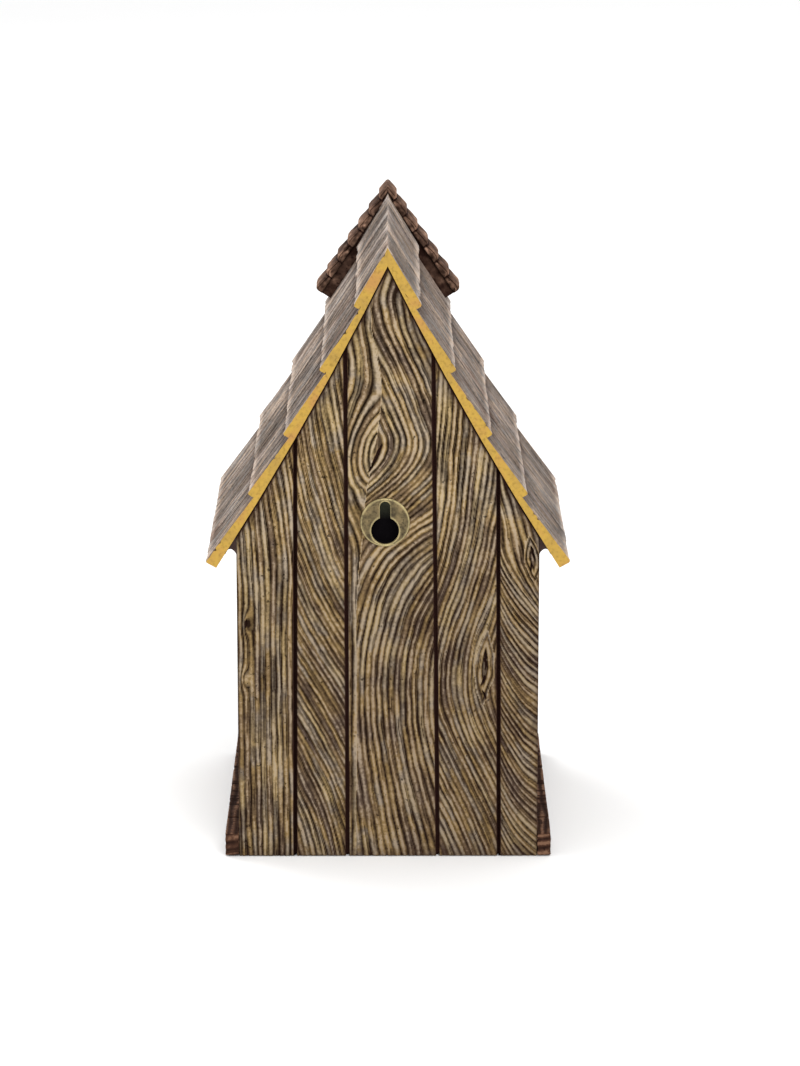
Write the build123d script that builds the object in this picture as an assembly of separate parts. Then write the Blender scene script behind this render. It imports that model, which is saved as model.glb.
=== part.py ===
from build123d import *
from math import cos, radians, sin
import os

# Wooden-look gabled birdhouse, built board by board. Millimetres, +Z up.
# The origin is on the ground at the middle of the floor panel. The entrance faces -Y,
# the hanging side faces +Y, and "left" and "right" are as seen by someone facing the entrance.

# ---- House body ----
WALL_HALF = 60.0            # half the width over the gable walls
BACK_Y = 69.0               # rear face of the back wall
FRONT_Y = -63.0             # front face of the front wall
GABLE_THICK = 8.0           # board thickness of the back and front walls
SIDE_THICK = 7.0            # board thickness of the side walls
SIDE_INSET = 1.0            # side walls stand this far inside the gable walls' edges
POST = 10.0                 # square corner posts
FLOOR_THICK = 12.0
TALL = 300.0                # taller than the house, for cutting blanks

# Seams between the upright boards: X at the ground and X at SEAM_TOP_Z.
SEAM_TOP_Z = 200.0
BACK_SEAMS = ((37.4, 36.2), (16.3, 16.6), (-20.0, -17.9), (-44.6, -43.2))
FRONT_SEAMS = ((41.0, 40.0), (21.5, 21.0), (-20.5, -21.0), (-40.0, -41.5))
SEAM_REBATE_WIDE = 0.6      # rebate along each outer board edge, which makes the dark groove
SEAM_REBATE_DEEP = 2.5

# ---- Main roof ----
ROOF_BACK_Y = 70.0
ROOF_FRONT_Y = -70.0
ROOF_APEX_Z = 241.4         # underside of the shingles at the ridge, where the gable boards end
ROOF_ANGLE = 60.7           # slope of each side, degrees from horizontal
ROOF_RIDGE_Z = 248.9        # top of the ridge
ROOF_SAG = 1.9              # how far each slope bows inwards at its middle
COURSE_LENGTHS = (20.3, 28.8, 29.5, 27.9, 32.3)   # exposed length of each shingle course
COURSE_BUTT = 5.3           # thickness at a course's lower edge
COURSE_START = 2.5          # thickness where a course comes out from under the one above
COURSE_HEAD = 1.2           # thickness of the hidden top edge
COURSE_LAP = 8.0            # length hidden under the course above
DECK_THICK = 3.9

# ---- Small brown hood over the front end of the ridge ----
HOOD_BACK_Y = -57.5
HOOD_FRONT_Y = -76.0
HOOD_DECK_SETBACK = 1.0     # hood deck stops short of the shingles at both ends
HOOD_APEX_Z = 254.1
HOOD_ANGLE = 55.8
HOOD_LENGTH = 55.0          # slope length from the ridge to the hood's eave
HOOD_COURSES = 7            # the first of these is the ridge cap
HOOD_BUTT = 2.6
HOOD_START = 1.5

# ---- Plinth of short blocks round the foot ----
PLINTH_OUT = 65.7           # half the width over the plinth
PLINTH_HIGH = 9.4
PLINTH_FRONT_Y = -70.0
PLINTH_BLOCKS = 6           # blocks scored into each side
PLINTH_SCORE = 0.9          # depth of the scored joints

# ---- Keyhole hanger in the back ----
HANGER_X = 1.1
HANGER_HOLE_Z = 135.4
HANGER_HOLE_R = 5.5         # lets a screw head up to 10 mm through
HANGER_SLOT = 4.2           # slot width, for the screw's shank
HANGER_SLOT_TOP_Z = 147.3
HANGER_DISC_Z = 138.8
HANGER_DISC_R = 9.7
HANGER_PLATE_THICK = 1.8
HANGER_PROUD = 0.9          # how far the plate stands out of the wall
HANGER_POCKET_Y = 62.6      # bottom of the pocket behind the plate
HANGER_POCKET_R = 5.9
HANGER_HEAD_R = 5.2         # pocket radius round the screw head when it is hung

# ---- Entrance and perch ----
ENTRANCE_Z = 132.0
ENTRANCE_R = 14.3           # 1 1/8 inch entrance hole
RING_R = 20.0
RING_THICK = 3.0
PERCH_Z = 100.0
PERCH_R = 3.5
PERCH_BURIED = 6.0
PERCH_OUT = 25.0

# ---- Clean-out door in the right-hand side ----
DOOR_GAP = 0.6              # between the door and its posts
DOOR_BOTTOM_Z = 10.4
DOOR_TOP_Z = 118.4
DOOR_PIVOT_Z = 112.0
DOOR_PIVOT_INSET = 4.3      # pivot behind the outer face, so that the door's weight closes it
DOOR_STOP_GAP = 0.3         # between the door's foot and the step in the floor that stops it
DOOR_STOP_Z = 9.0           # bottom of that step
DOOR_SEAM_FRACTIONS = (0.0, 0.32, 0.67, 1.0)
HEADER_BOTTOM_Z = 120.4
PIN_R = 1.6
PIN_CLEARANCE = 0.05
PIN_IN_DOOR = 7.5
PIN_IN_POST = 5.0
PIN_HOLE_SPARE = 0.6        # the door's hole is this much deeper than the pin reaches
BATTEN_THICK = 3.5
BATTEN_HIGH = 10.0
BATTEN_INSET = 4.0          # from the door's edges
BATTEN_HEIGHTS = (24.0, 92.0)

# ---- Turn button that keeps the door shut ----
BUTTON_Z = 36.0
BUTTON_R = 4.0
BUTTON_ARM = 15.0
BUTTON_THICK = 2.8
BUTTON_GAP = 0.3
BUTTON_SCREW_R = 1.5
BUTTON_SCREW_CLEARANCE = 0.08
BUTTON_SCREW_DEEP = 7.0
BUTTON_HEAD_R = 3.0
BUTTON_HEAD_HIGH = 1.4

DRAIN_R = 3.0
DRAIN_X = 34.0
DRAIN_Y = 36.0

# ---- Worked out from the above ----
BACK_INNER_Y = BACK_Y - GABLE_THICK
FRONT_INNER_Y = FRONT_Y + GABLE_THICK
SIDE_OUT = WALL_HALF - SIDE_INSET
SIDE_IN = SIDE_OUT - SIDE_THICK
BAY_FRONT_Y = FRONT_INNER_Y + POST
BAY_BACK_Y = BACK_INNER_Y - POST
SLOPE_LENGTH = sum(COURSE_LENGTHS)
DOOR_PIVOT_X = SIDE_OUT - DOOR_PIVOT_INSET


def prism(points, y_low, y_high):
    """A solid from an (x, z) outline, running from y_low to y_high."""
    outline = Plane.XZ * make_face(Polyline(*points, close=True))
    return Pos(0, y_high, 0) * extrude(outline, amount=y_high - y_low, dir=(0, -1, 0))


def block(low, high):
    """A box from its lowest to its highest corner."""
    size = [b - a for a, b in zip(low, high)]
    middle = [(a + b) / 2 for a, b in zip(low, high)]
    return Pos(*middle) * Box(*size)


def rod(radius, start, length, direction):
    """A round bar from start, along direction."""
    return extrude(Plane(origin=start, z_dir=direction) * Circle(radius), amount=length)


def sag(along):
    """How far the slope bows inwards: a parabola with straight runs between the course edges."""
    knots = [0.0, *course_ends()]
    for low, high in zip(knots, knots[1:]):
        if along <= high:
            sag_low, sag_high = [ROOF_SAG * 4 * k * (SLOPE_LENGTH - k) / SLOPE_LENGTH**2 for k in (low, high)]
            return sag_low + (sag_high - sag_low) * (along - low) / (high - low)
    return 0.0


def roof_point(along, out):
    """(x, z) at a distance down the slope from the apex and a height above the shingles' underside."""
    height = out - sag(along)
    angle = radians(ROOF_ANGLE)
    x = along * cos(angle) + height * sin(angle)
    z = ROOF_APEX_Z - along * sin(angle) + height * cos(angle)
    return x, z


def ridge_z(out):
    """Height above the ground of the plane `out` above the underside, where it meets x = 0."""
    return ROOF_APEX_Z + out / cos(radians(ROOF_ANGLE))


def course_ends():
    """Distance down the slope to each course's lower edge."""
    ends = []
    for length in COURSE_LENGTHS:
        ends.append(length + (ends[-1] if ends else 0.0))
    return ends


def slope_line(out, last):
    """The points of a slope line at each course edge, as far as the course edge `last`."""
    return [roof_point(end, out) for end in course_ends()[:last]]


def x_at_height(line, z):
    """X where a falling line of points passes height z."""
    for (xa, za), (xb, zb) in zip(line, line[1:]):
        if za >= z >= zb:
            return xa + (xb - xa) * (za - z) / (za - zb)
    raise ValueError("height outside the line")


def z_at_x(line, x):
    """Height where an outgoing line of points passes x."""
    for (xa, za), (xb, zb) in zip(line, line[1:]):
        if xa <= x <= xb:
            return za + (zb - za) * (x - xa) / (xb - xa)
    raise ValueError("x outside the line")


UNDERSIDE = [(0.0, ROOF_APEX_Z)] + slope_line(0.0, len(COURSE_LENGTHS))
DECK_UNDERSIDE = [(0.0, ridge_z(-DECK_THICK))] + slope_line(-DECK_THICK, len(COURSE_LENGTHS))
WALL_TOP_Z = z_at_x(DECK_UNDERSIDE, WALL_HALF)


def gable_outline(line):
    """House outline under a slope line, both sides, down to the ground."""
    inner = [p for p in line if p[0] < WALL_HALF]
    edge = (WALL_HALF, z_at_x(line, WALL_HALF))
    right = inner + [edge, (WALL_HALF, 0.0)]
    left = [(-x, z) for x, z in reversed(right[1:])]
    return left + right


def seam_x(seam, z):
    """X of a slightly leaning seam at height z."""
    low, high = seam
    return low + (high - low) * z / SEAM_TOP_Z


def gable_boards(seams, y_outer, y_inner):
    """The five upright boards of a gable wall, from +X to -X, each rebated along its outer edges."""
    wall = prism(gable_outline(UNDERSIDE), min(y_outer, y_inner), max(y_outer, y_inner))
    outward = 1 if y_outer > y_inner else -1
    y_rebate = y_outer - outward * SEAM_REBATE_DEEP
    edges = [(WALL_HALF, WALL_HALF), *seams, (-WALL_HALF, -WALL_HALF)]
    boards = []
    for first, second in zip(edges, edges[1:]):
        strip = [
            (seam_x(first, 0.0), 0.0),
            (seam_x(first, TALL), TALL),
            (seam_x(second, TALL), TALL),
            (seam_x(second, 0.0), 0.0),
        ]
        board = wall & prism(strip, FRONT_Y, BACK_Y)
        for seam in seams:
            if seam in (first, second):
                groove = [
                    (seam_x(seam, 0.0) - SEAM_REBATE_WIDE, 0.0),
                    (seam_x(seam, TALL) - SEAM_REBATE_WIDE, TALL),
                    (seam_x(seam, TALL) + SEAM_REBATE_WIDE, TALL),
                    (seam_x(seam, 0.0) + SEAM_REBATE_WIDE, 0.0),
                ]
                board -= prism(groove, min(y_rebate, y_outer), max(y_rebate, y_outer))
        boards.append(board)
    return boards


def keyhole(y_low, y_high, round_r, top_z, top_r):
    """A keyhole-shaped cutter: a round hole with a round-ended slot above it."""
    hole = rod(round_r, (HANGER_X, y_low, HANGER_HOLE_Z), y_high - y_low, (0, 1, 0))
    slot = block(
        (HANGER_X - top_r, y_low, HANGER_HOLE_Z),
        (HANGER_X + top_r, y_high, top_z - top_r),
    )
    end = rod(top_r, (HANGER_X, y_low, top_z - top_r), y_high - y_low, (0, 1, 0))
    return hole + slot + end


def hanger_plate():
    """The round keyhole plate let into the middle back board."""
    y_low = BACK_Y + HANGER_PROUD - HANGER_PLATE_THICK
    y_high = BACK_Y + HANGER_PROUD
    disc = rod(HANGER_DISC_R, (HANGER_X, y_low, HANGER_DISC_Z), HANGER_PLATE_THICK, (0, 1, 0))
    return disc - keyhole(y_low, y_high, HANGER_HOLE_R, HANGER_SLOT_TOP_Z, HANGER_SLOT / 2)


def hanger_recess():
    """The seat for the plate, and the pocket behind it that the hung screw head slides up in."""
    seat_y = BACK_Y + HANGER_PROUD - HANGER_PLATE_THICK
    seat = rod(HANGER_DISC_R, (HANGER_X, seat_y, HANGER_DISC_Z), BACK_Y - seat_y, (0, 1, 0))
    head_z = HANGER_SLOT_TOP_Z - HANGER_SLOT / 2
    pocket = keyhole(HANGER_POCKET_Y, seat_y, HANGER_POCKET_R, head_z + HANGER_HEAD_R, HANGER_HEAD_R)
    return seat + pocket


def back_wall():
    """The five back boards, with the hanger's recess in the middle one."""
    boards = gable_boards(BACK_SEAMS, BACK_Y, BACK_INNER_Y)
    middle = len(boards) // 2
    boards[middle] -= hanger_recess()
    return boards


def front_wall():
    """The five front boards, with the entrance and the perch's socket in the middle one."""
    boards = gable_boards(FRONT_SEAMS, FRONT_Y, FRONT_INNER_Y)
    middle = len(boards) // 2
    entrance = rod(ENTRANCE_R, (0, FRONT_Y, ENTRANCE_Z), GABLE_THICK, (0, 1, 0))
    socket = rod(PERCH_R, (0, FRONT_Y, PERCH_Z), PERCH_BURIED, (0, 1, 0))
    boards[middle] = boards[middle] - entrance - socket
    return boards


def entrance_ring():
    """The turned ring round the entrance."""
    start = (0, FRONT_Y - RING_THICK, ENTRANCE_Z)
    ring = rod(RING_R, start, RING_THICK, (0, 1, 0)) - rod(ENTRANCE_R, start, RING_THICK, (0, 1, 0))
    front_rim = ring.edges().filter_by(GeomType.CIRCLE).group_by(Axis.Y)[0]
    return fillet(front_rim, RING_THICK / 3)


def perch():
    """The perch dowel, with a rounded tip."""
    bar = rod(PERCH_R, (0, FRONT_Y - PERCH_OUT, PERCH_Z), PERCH_OUT + PERCH_BURIED, (0, 1, 0))
    tip = bar.edges().filter_by(GeomType.CIRCLE).group_by(Axis.Y)[0]
    return fillet(tip, PERCH_R * 0.6)


def corner_post(side, y_low):
    """A square post from the floor up to the roof deck."""
    low_x, high_x = sorted((side * SIDE_OUT, side * (SIDE_OUT - POST)))
    blank = block((low_x, y_low, FLOOR_THICK), (high_x, y_low + POST, TALL))
    return blank & prism(gable_outline(DECK_UNDERSIDE), FRONT_Y, BACK_Y)


def side_boards(side, y_low, y_high, z_low, z_high):
    """Three upright boards of a side wall between two corner posts, under the roof deck."""
    low_x, high_x = sorted((side * SIDE_IN, side * SIDE_OUT))
    under_deck = prism(gable_outline(DECK_UNDERSIDE), FRONT_Y, BACK_Y)
    rebate_x = side * (SIDE_OUT - SEAM_REBATE_DEEP)
    cuts = [y_low + part * (y_high - y_low) for part in DOOR_SEAM_FRACTIONS]
    boards = []
    for first, second in zip(cuts, cuts[1:]):
        board = block((low_x, first, z_low), (high_x, second, z_high)) & under_deck
        for seam in cuts[1:-1]:
            if seam in (first, second):
                groove_low, groove_high = sorted((rebate_x, side * SIDE_OUT))
                board -= block(
                    (groove_low, seam - SEAM_REBATE_WIDE, 0.0),
                    (groove_high, seam + SEAM_REBATE_WIDE, TALL),
                )
        boards.append(board)
    return boards


def door_pin(end_sign, radius, in_door, in_post):
    """One pivot pin, or its hole, at the back (+1) or front (-1) edge of the door."""
    post_face = BAY_BACK_Y if end_sign > 0 else BAY_FRONT_Y
    inner_end = post_face - end_sign * (DOOR_GAP + in_door)
    start = (DOOR_PIVOT_X, inner_end, DOOR_PIVOT_Z)
    return rod(radius, start, DOOR_GAP + in_door + in_post, (0, end_sign, 0))


def door():
    """The door's three boards, with running holes for the pivot pins."""
    boards = side_boards(1, BAY_FRONT_Y + DOOR_GAP, BAY_BACK_Y - DOOR_GAP, DOOR_BOTTOM_Z, DOOR_TOP_Z)
    running_r = PIN_R + PIN_CLEARANCE
    boards[0] -= door_pin(-1, running_r, PIN_IN_DOOR + PIN_HOLE_SPARE, 0.0)
    boards[-1] -= door_pin(1, running_r, PIN_IN_DOOR + PIN_HOLE_SPARE, 0.0)
    return boards


def door_batten(z_low):
    """A batten across the inside of the door that holds its boards together."""
    return block(
        (SIDE_IN - BATTEN_THICK, BAY_FRONT_Y + BATTEN_INSET, z_low),
        (SIDE_IN, BAY_BACK_Y - BATTEN_INSET, z_low + BATTEN_HIGH),
    )


def door_header():
    """The fixed rail above the door."""
    blank = block((SIDE_IN, BAY_FRONT_Y, HEADER_BOTTOM_Z), (SIDE_OUT, BAY_BACK_Y, TALL))
    return blank & prism(gable_outline(DECK_UNDERSIDE), FRONT_Y, BACK_Y)


def turn_button():
    """The button, at rest pointing up, clear of the door."""
    y_middle = FRONT_INNER_Y + POST / 2
    x_low = SIDE_OUT + BUTTON_GAP
    round_end = rod(BUTTON_R, (x_low, y_middle, BUTTON_Z), BUTTON_THICK, (1, 0, 0))
    arm = block(
        (x_low, y_middle - BUTTON_R, BUTTON_Z),
        (x_low + BUTTON_THICK, y_middle + BUTTON_R, BUTTON_Z + BUTTON_ARM - BUTTON_R),
    )
    tip_z = BUTTON_Z + BUTTON_ARM - BUTTON_R
    tip = rod(BUTTON_R, (x_low, y_middle, tip_z), BUTTON_THICK, (1, 0, 0))
    hole_r = BUTTON_SCREW_R + BUTTON_SCREW_CLEARANCE
    return round_end + arm + tip - rod(hole_r, (x_low, y_middle, BUTTON_Z), BUTTON_THICK, (1, 0, 0))


def turn_button_screw():
    """The round-headed screw that the button turns on."""
    y_middle = FRONT_INNER_Y + POST / 2
    start = (SIDE_OUT - BUTTON_SCREW_DEEP, y_middle, BUTTON_Z)
    head_x = SIDE_OUT + BUTTON_GAP * 2 + BUTTON_THICK
    shank = rod(BUTTON_SCREW_R, start, head_x - start[0], (1, 0, 0))
    head = rod(BUTTON_HEAD_R, (head_x, y_middle, BUTTON_Z), BUTTON_HEAD_HIGH, (1, 0, 0))
    rim = head.edges().filter_by(GeomType.CIRCLE).group_by(Axis.X)[-1]
    return shank + fillet(rim, BUTTON_HEAD_HIGH * 0.6)


def button_screw_hole():
    """The screw's hole in the front right-hand post."""
    start = (SIDE_OUT - BUTTON_SCREW_DEEP, FRONT_INNER_Y + POST / 2, BUTTON_Z)
    return rod(BUTTON_SCREW_R, start, BUTTON_SCREW_DEEP, (1, 0, 0))


def floor_panel():
    """The floor that posts and side boards stand on, with four drain holes and a step under the door."""
    panel = block((-WALL_HALF, FRONT_INNER_Y, 0.0), (WALL_HALF, BACK_INNER_Y, FLOOR_THICK))
    panel -= block(
        (SIDE_IN - DOOR_STOP_GAP, BAY_FRONT_Y, DOOR_STOP_Z),
        (WALL_HALF, BAY_BACK_Y, FLOOR_THICK),
    )
    middle_y = (FRONT_INNER_Y + BACK_INNER_Y) / 2
    for x in (-DRAIN_X, DRAIN_X):
        for y in (middle_y - DRAIN_Y, middle_y + DRAIN_Y):
            panel -= rod(DRAIN_R, (x, y, 0.0), FLOOR_THICK, (0, 0, 1))
    return panel


def mirrored(points, side):
    """The same (x, z) points on the chosen side of the ridge."""
    return [(side * x, z) for x, z in points]


def roof_deck(side):
    """The board under the shingles: between the gables, and past them at the eave."""
    eave_x = x_at_height(UNDERSIDE, WALL_TOP_Z)
    upper = [p for p in UNDERSIDE if p[0] < eave_x]
    lower = [p for p in DECK_UNDERSIDE if p[0] < WALL_HALF]
    outline = upper + [(eave_x, WALL_TOP_Z), (WALL_HALF, WALL_TOP_Z)] + list(reversed(lower))
    wall_edge_z = z_at_x(UNDERSIDE, WALL_HALF)
    eave = [(WALL_HALF, wall_edge_z), (eave_x, WALL_TOP_Z), (WALL_HALF, WALL_TOP_Z)]
    inner = prism(mirrored(outline, side), FRONT_INNER_Y, BACK_INNER_Y)
    return inner + prism(mirrored(eave, side), FRONT_Y, BACK_Y)


def roof_course(side, number):
    """One shingle course, as long as the roof, laid over the head of the course below."""
    ends = course_ends()
    low_end = ends[number]
    is_last = number == len(ends) - 1
    points = []
    if number == 0:
        points += [(0.0, ROOF_RIDGE_Z), (0.0, ROOF_APEX_Z)]
    else:
        high_end = ends[number - 1]
        points.append(roof_point(high_end, COURSE_START))
        points.append(roof_point(high_end - COURSE_LAP, COURSE_HEAD))
        points.append(roof_point(high_end - COURSE_LAP, 0.0))
        points.append(roof_point(high_end, 0.0))
    if is_last:
        points.append(roof_point(low_end, 0.0))
    else:
        points.append(roof_point(low_end - COURSE_LAP, 0.0))
        points.append(roof_point(low_end - COURSE_LAP, COURSE_HEAD))
        points.append(roof_point(low_end, COURSE_START))
    points.append(roof_point(low_end, COURSE_BUTT))
    return prism(mirrored(points, side), ROOF_FRONT_Y, ROOF_BACK_Y)


def hood_point(along, below):
    """(x, z) at a distance down the hood's slope and a depth below its outer plane."""
    angle = radians(HOOD_ANGLE)
    x = along * cos(angle) - below * sin(angle)
    z = HOOD_APEX_Z - along * sin(angle) - below * cos(angle)
    return x, z


def hood_ridge_z(below):
    """Height of the plane `below` the hood's outer plane, where it meets x = 0."""
    return HOOD_APEX_Z - below / cos(radians(HOOD_ANGLE))


def hood_eave_seat():
    """(x, z) where the hood's eave comes down onto the main roof's second course."""
    angle = radians(HOOD_ANGLE)
    head = roof_point(COURSE_LENGTHS[0], COURSE_START)
    foot = roof_point(COURSE_LENGTHS[0] + COURSE_LENGTHS[1], COURSE_BUTT)
    reach = [x * cos(angle) + (HOOD_APEX_Z - z) * sin(angle) for x, z in (head, foot)]
    share = (HOOD_LENGTH - reach[0]) / (reach[1] - reach[0])
    return head[0] + share * (foot[0] - head[0]), head[1] + share * (foot[1] - head[1])


def hood_deck(side):
    """The wedge between the main roof's two top courses and the hood's shingles."""
    outline = [
        (0.0, ROOF_RIDGE_Z),
        (0.0, hood_ridge_z(HOOD_BUTT)),
        hood_point(HOOD_LENGTH, HOOD_BUTT),
        hood_eave_seat(),
        roof_point(COURSE_LENGTHS[0], COURSE_START),
        roof_point(COURSE_LENGTHS[0], COURSE_BUTT),
    ]
    y_low = HOOD_FRONT_Y + HOOD_DECK_SETBACK
    return prism(mirrored(outline, side), y_low, HOOD_BACK_Y - HOOD_DECK_SETBACK)


def hood_course(side, number):
    """One small shingle course of the hood, thicker at its lower edge."""
    step = HOOD_LENGTH / HOOD_COURSES
    high_end = number * step
    low_end = high_end + step
    outline = [
        hood_point(high_end, HOOD_BUTT),
        hood_point(high_end, HOOD_BUTT - HOOD_START),
        hood_point(low_end, 0.0),
        hood_point(low_end, HOOD_BUTT),
    ]
    return prism(mirrored(outline, side), HOOD_FRONT_Y, HOOD_BACK_Y)


def hood_ridge_cap():
    """The bent cap over the hood's ridge."""
    step = HOOD_LENGTH / HOOD_COURSES
    right = [
        (0.0, HOOD_APEX_Z),
        hood_point(step, 0.0),
        hood_point(step, HOOD_BUTT),
        (0.0, hood_ridge_z(HOOD_BUTT)),
    ]
    half = prism(right, HOOD_FRONT_Y, HOOD_BACK_Y)
    return half + mirror(half, about=Plane.YZ)


def plinth_side(side):
    """A side strip of the plinth, scored into blocks on its top and outer face."""
    low_x, high_x = sorted((side * WALL_HALF, side * PLINTH_OUT))
    strip = block((low_x, FRONT_Y, 0.0), (high_x, BACK_Y, PLINTH_HIGH))
    pitch = (BACK_Y - FRONT_Y) / PLINTH_BLOCKS
    face_low, face_high = sorted((side * PLINTH_OUT, side * (PLINTH_OUT - PLINTH_SCORE)))
    for joint in range(1, PLINTH_BLOCKS):
        y = FRONT_Y + joint * pitch
        y_low = y - PLINTH_SCORE / 2
        y_high = y + PLINTH_SCORE / 2
        strip -= block((low_x, y_low, PLINTH_HIGH - PLINTH_SCORE), (high_x, y_high, PLINTH_HIGH))
        strip -= block((face_low, y_low, 0.0), (face_high, y_high, PLINTH_HIGH))
    return strip


def plinth_front():
    """The front strip of the plinth, scored like the sides."""
    strip = block((-PLINTH_OUT, PLINTH_FRONT_Y, 0.0), (PLINTH_OUT, FRONT_Y, PLINTH_HIGH))
    pitch = 2 * PLINTH_OUT / PLINTH_BLOCKS
    for joint in range(1, PLINTH_BLOCKS):
        x = -PLINTH_OUT + joint * pitch
        x_low = x - PLINTH_SCORE / 2
        x_high = x + PLINTH_SCORE / 2
        strip -= block((x_low, PLINTH_FRONT_Y, PLINTH_HIGH - PLINTH_SCORE), (x_high, FRONT_Y, PLINTH_HIGH))
        strip -= block((x_low, PLINTH_FRONT_Y, 0.0), (x_high, PLINTH_FRONT_Y + PLINTH_SCORE, PLINTH_HIGH))
    return strip


def all_parts():
    """Every node's name and shape."""
    parts = {}
    for number, board in enumerate(back_wall(), start=1):
        parts[f"back_board_{number}"] = board
    for number, board in enumerate(front_wall(), start=1):
        parts[f"front_board_{number}"] = board
    fixed_side = side_boards(-1, BAY_FRONT_Y, BAY_BACK_Y, FLOOR_THICK, TALL)
    for number, board in enumerate(fixed_side, start=1):
        parts[f"left_board_{number}"] = board
    for number, board in enumerate(door(), start=1):
        parts[f"door_board_{number}"] = board
    for name, z_low in zip(("lower", "upper"), BATTEN_HEIGHTS):
        parts[f"door_batten_{name}"] = door_batten(z_low)
    parts["door_header"] = door_header()
    pin_back = door_pin(1, PIN_R, PIN_IN_DOOR, PIN_IN_POST)
    pin_front = door_pin(-1, PIN_R, PIN_IN_DOOR, PIN_IN_POST)
    parts["door_pivot_pins"] = Compound(children=[pin_back, pin_front])
    parts["turn_button"] = turn_button()
    parts["turn_button_screw"] = turn_button_screw()
    parts["corner_post_front_left"] = corner_post(-1, FRONT_INNER_Y)
    parts["corner_post_back_left"] = corner_post(-1, BAY_BACK_Y)
    parts["corner_post_front_right"] = corner_post(1, FRONT_INNER_Y) - pin_front - button_screw_hole()
    parts["corner_post_back_right"] = corner_post(1, BAY_BACK_Y) - pin_back
    parts["floor_panel"] = floor_panel()
    parts["plinth_front"] = plinth_front()
    for side, name in ((-1, "left"), (1, "right")):
        parts[f"plinth_{name}"] = plinth_side(side)
        parts[f"roof_deck_{name}"] = roof_deck(side)
        for number in range(len(COURSE_LENGTHS)):
            parts[f"roof_course_{name}_{number + 1}"] = roof_course(side, number)
        parts[f"hood_deck_{name}"] = hood_deck(side)
        for number in range(1, HOOD_COURSES):
            parts[f"hood_course_{name}_{number}"] = hood_course(side, number)
    parts["hood_ridge_cap"] = hood_ridge_cap()
    parts["hanger_plate"] = hanger_plate()
    parts["entrance_ring"] = entrance_ring()
    parts["perch"] = perch()
    return parts


os.makedirs("parts", exist_ok=True)
for node, shape in all_parts().items():
    export_step(shape, f"parts/{node}.step")
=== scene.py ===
from math import cos, pi, radians, sin, tan

import bpy
import numpy as np
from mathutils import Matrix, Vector


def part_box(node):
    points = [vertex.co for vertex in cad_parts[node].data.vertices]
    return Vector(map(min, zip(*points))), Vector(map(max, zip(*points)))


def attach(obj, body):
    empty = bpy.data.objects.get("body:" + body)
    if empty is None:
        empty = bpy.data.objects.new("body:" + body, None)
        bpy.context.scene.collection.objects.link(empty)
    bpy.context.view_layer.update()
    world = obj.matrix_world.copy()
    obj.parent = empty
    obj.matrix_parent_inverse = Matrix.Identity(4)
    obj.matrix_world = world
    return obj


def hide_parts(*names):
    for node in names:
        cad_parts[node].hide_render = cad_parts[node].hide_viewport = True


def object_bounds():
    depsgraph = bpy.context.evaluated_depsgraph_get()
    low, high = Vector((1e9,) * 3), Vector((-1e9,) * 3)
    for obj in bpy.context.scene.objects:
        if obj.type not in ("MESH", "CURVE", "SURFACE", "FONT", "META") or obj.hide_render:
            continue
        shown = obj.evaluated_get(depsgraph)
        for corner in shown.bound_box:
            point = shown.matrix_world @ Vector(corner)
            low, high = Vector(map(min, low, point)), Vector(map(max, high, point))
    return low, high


# The looks of a gabled wooden birdhouse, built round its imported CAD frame.
# Lengths below are millimetres in the row frame (+Z up, entrance on -Y, hanging side on +Y),
# and become metres in make_mesh(). Each wooden piece is a dense mesh with its grain carved in.

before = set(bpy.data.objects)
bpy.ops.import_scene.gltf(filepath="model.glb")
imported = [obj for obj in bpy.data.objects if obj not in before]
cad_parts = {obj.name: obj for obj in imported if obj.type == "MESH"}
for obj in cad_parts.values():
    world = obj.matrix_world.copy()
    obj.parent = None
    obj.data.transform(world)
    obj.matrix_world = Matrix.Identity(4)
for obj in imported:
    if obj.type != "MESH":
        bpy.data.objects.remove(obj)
CAD_LOW, CAD_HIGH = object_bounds()
MM = 0.001

# ---- Driving dimensions, the same as the part's ----
ROOF_APEX_Z = 241.4
ROOF_ANGLE = radians(60.7)
ROOF_RIDGE_Z = 248.9
ROOF_SAG = 1.9
COURSE_LENGTHS = (20.3, 28.8, 29.5, 27.9, 32.3)
COURSE_BUTT = 5.3
COURSE_START = 2.5
COURSE_HEAD = 1.2
COURSE_LAP = 8.0
DECK_THICK = 3.9
HOOD_APEX_Z = 254.1
HOOD_ANGLE = radians(55.8)
HOOD_LENGTH = 55.0
HOOD_COURSES = 7
HOOD_BUTT = 2.6
HOOD_START = 1.5
HOOD_LUMP = 1.1             # how far the rounded shingles sink into the hood's deck
HOOD_SINK = 1.5             # how far the hood's deck beds into the carved shingles under it
SEAM_TOP_Z = 200.0
BACK_SEAMS = ((37.4, 36.2), (16.3, 16.6), (-20.0, -17.9), (-44.6, -43.2))
FRONT_SEAMS = ((41.0, 40.0), (21.5, 21.0), (-20.5, -21.0), (-40.0, -41.5))
SEAM_WIDE = 0.6
SEAM_DEEP = 2.5
PLINTH_BLOCKS = 6
HANGER_HOLE_R = 5.5
HANGER_HOLE_Z = 135.4
HANGER_SLOT = 4.2
HANGER_SLOT_TOP_Z = 147.3
POCKET_Y = 62.6
POCKET_R = 5.9
POCKET_TOP_R = 5.2
ENTRANCE_R = 14.3
SIDE_OUT = 59.0
DOOR_STOP_Z = 9.0
DOOR_STOP_GAP = 0.3
BUTTON_HOLE_R = 1.58
POST = 10.0
DRAIN_R = 3.0
DRAIN_X = 34.0
DRAIN_Y = 36.0
SIDES = {-1: "left", 1: "right"}
LAST_COURSE = len(COURSE_LENGTHS) - 1
ROOF_NORMAL = np.array([sin(ROOF_ANGLE), cos(ROOF_ANGLE)])

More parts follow.
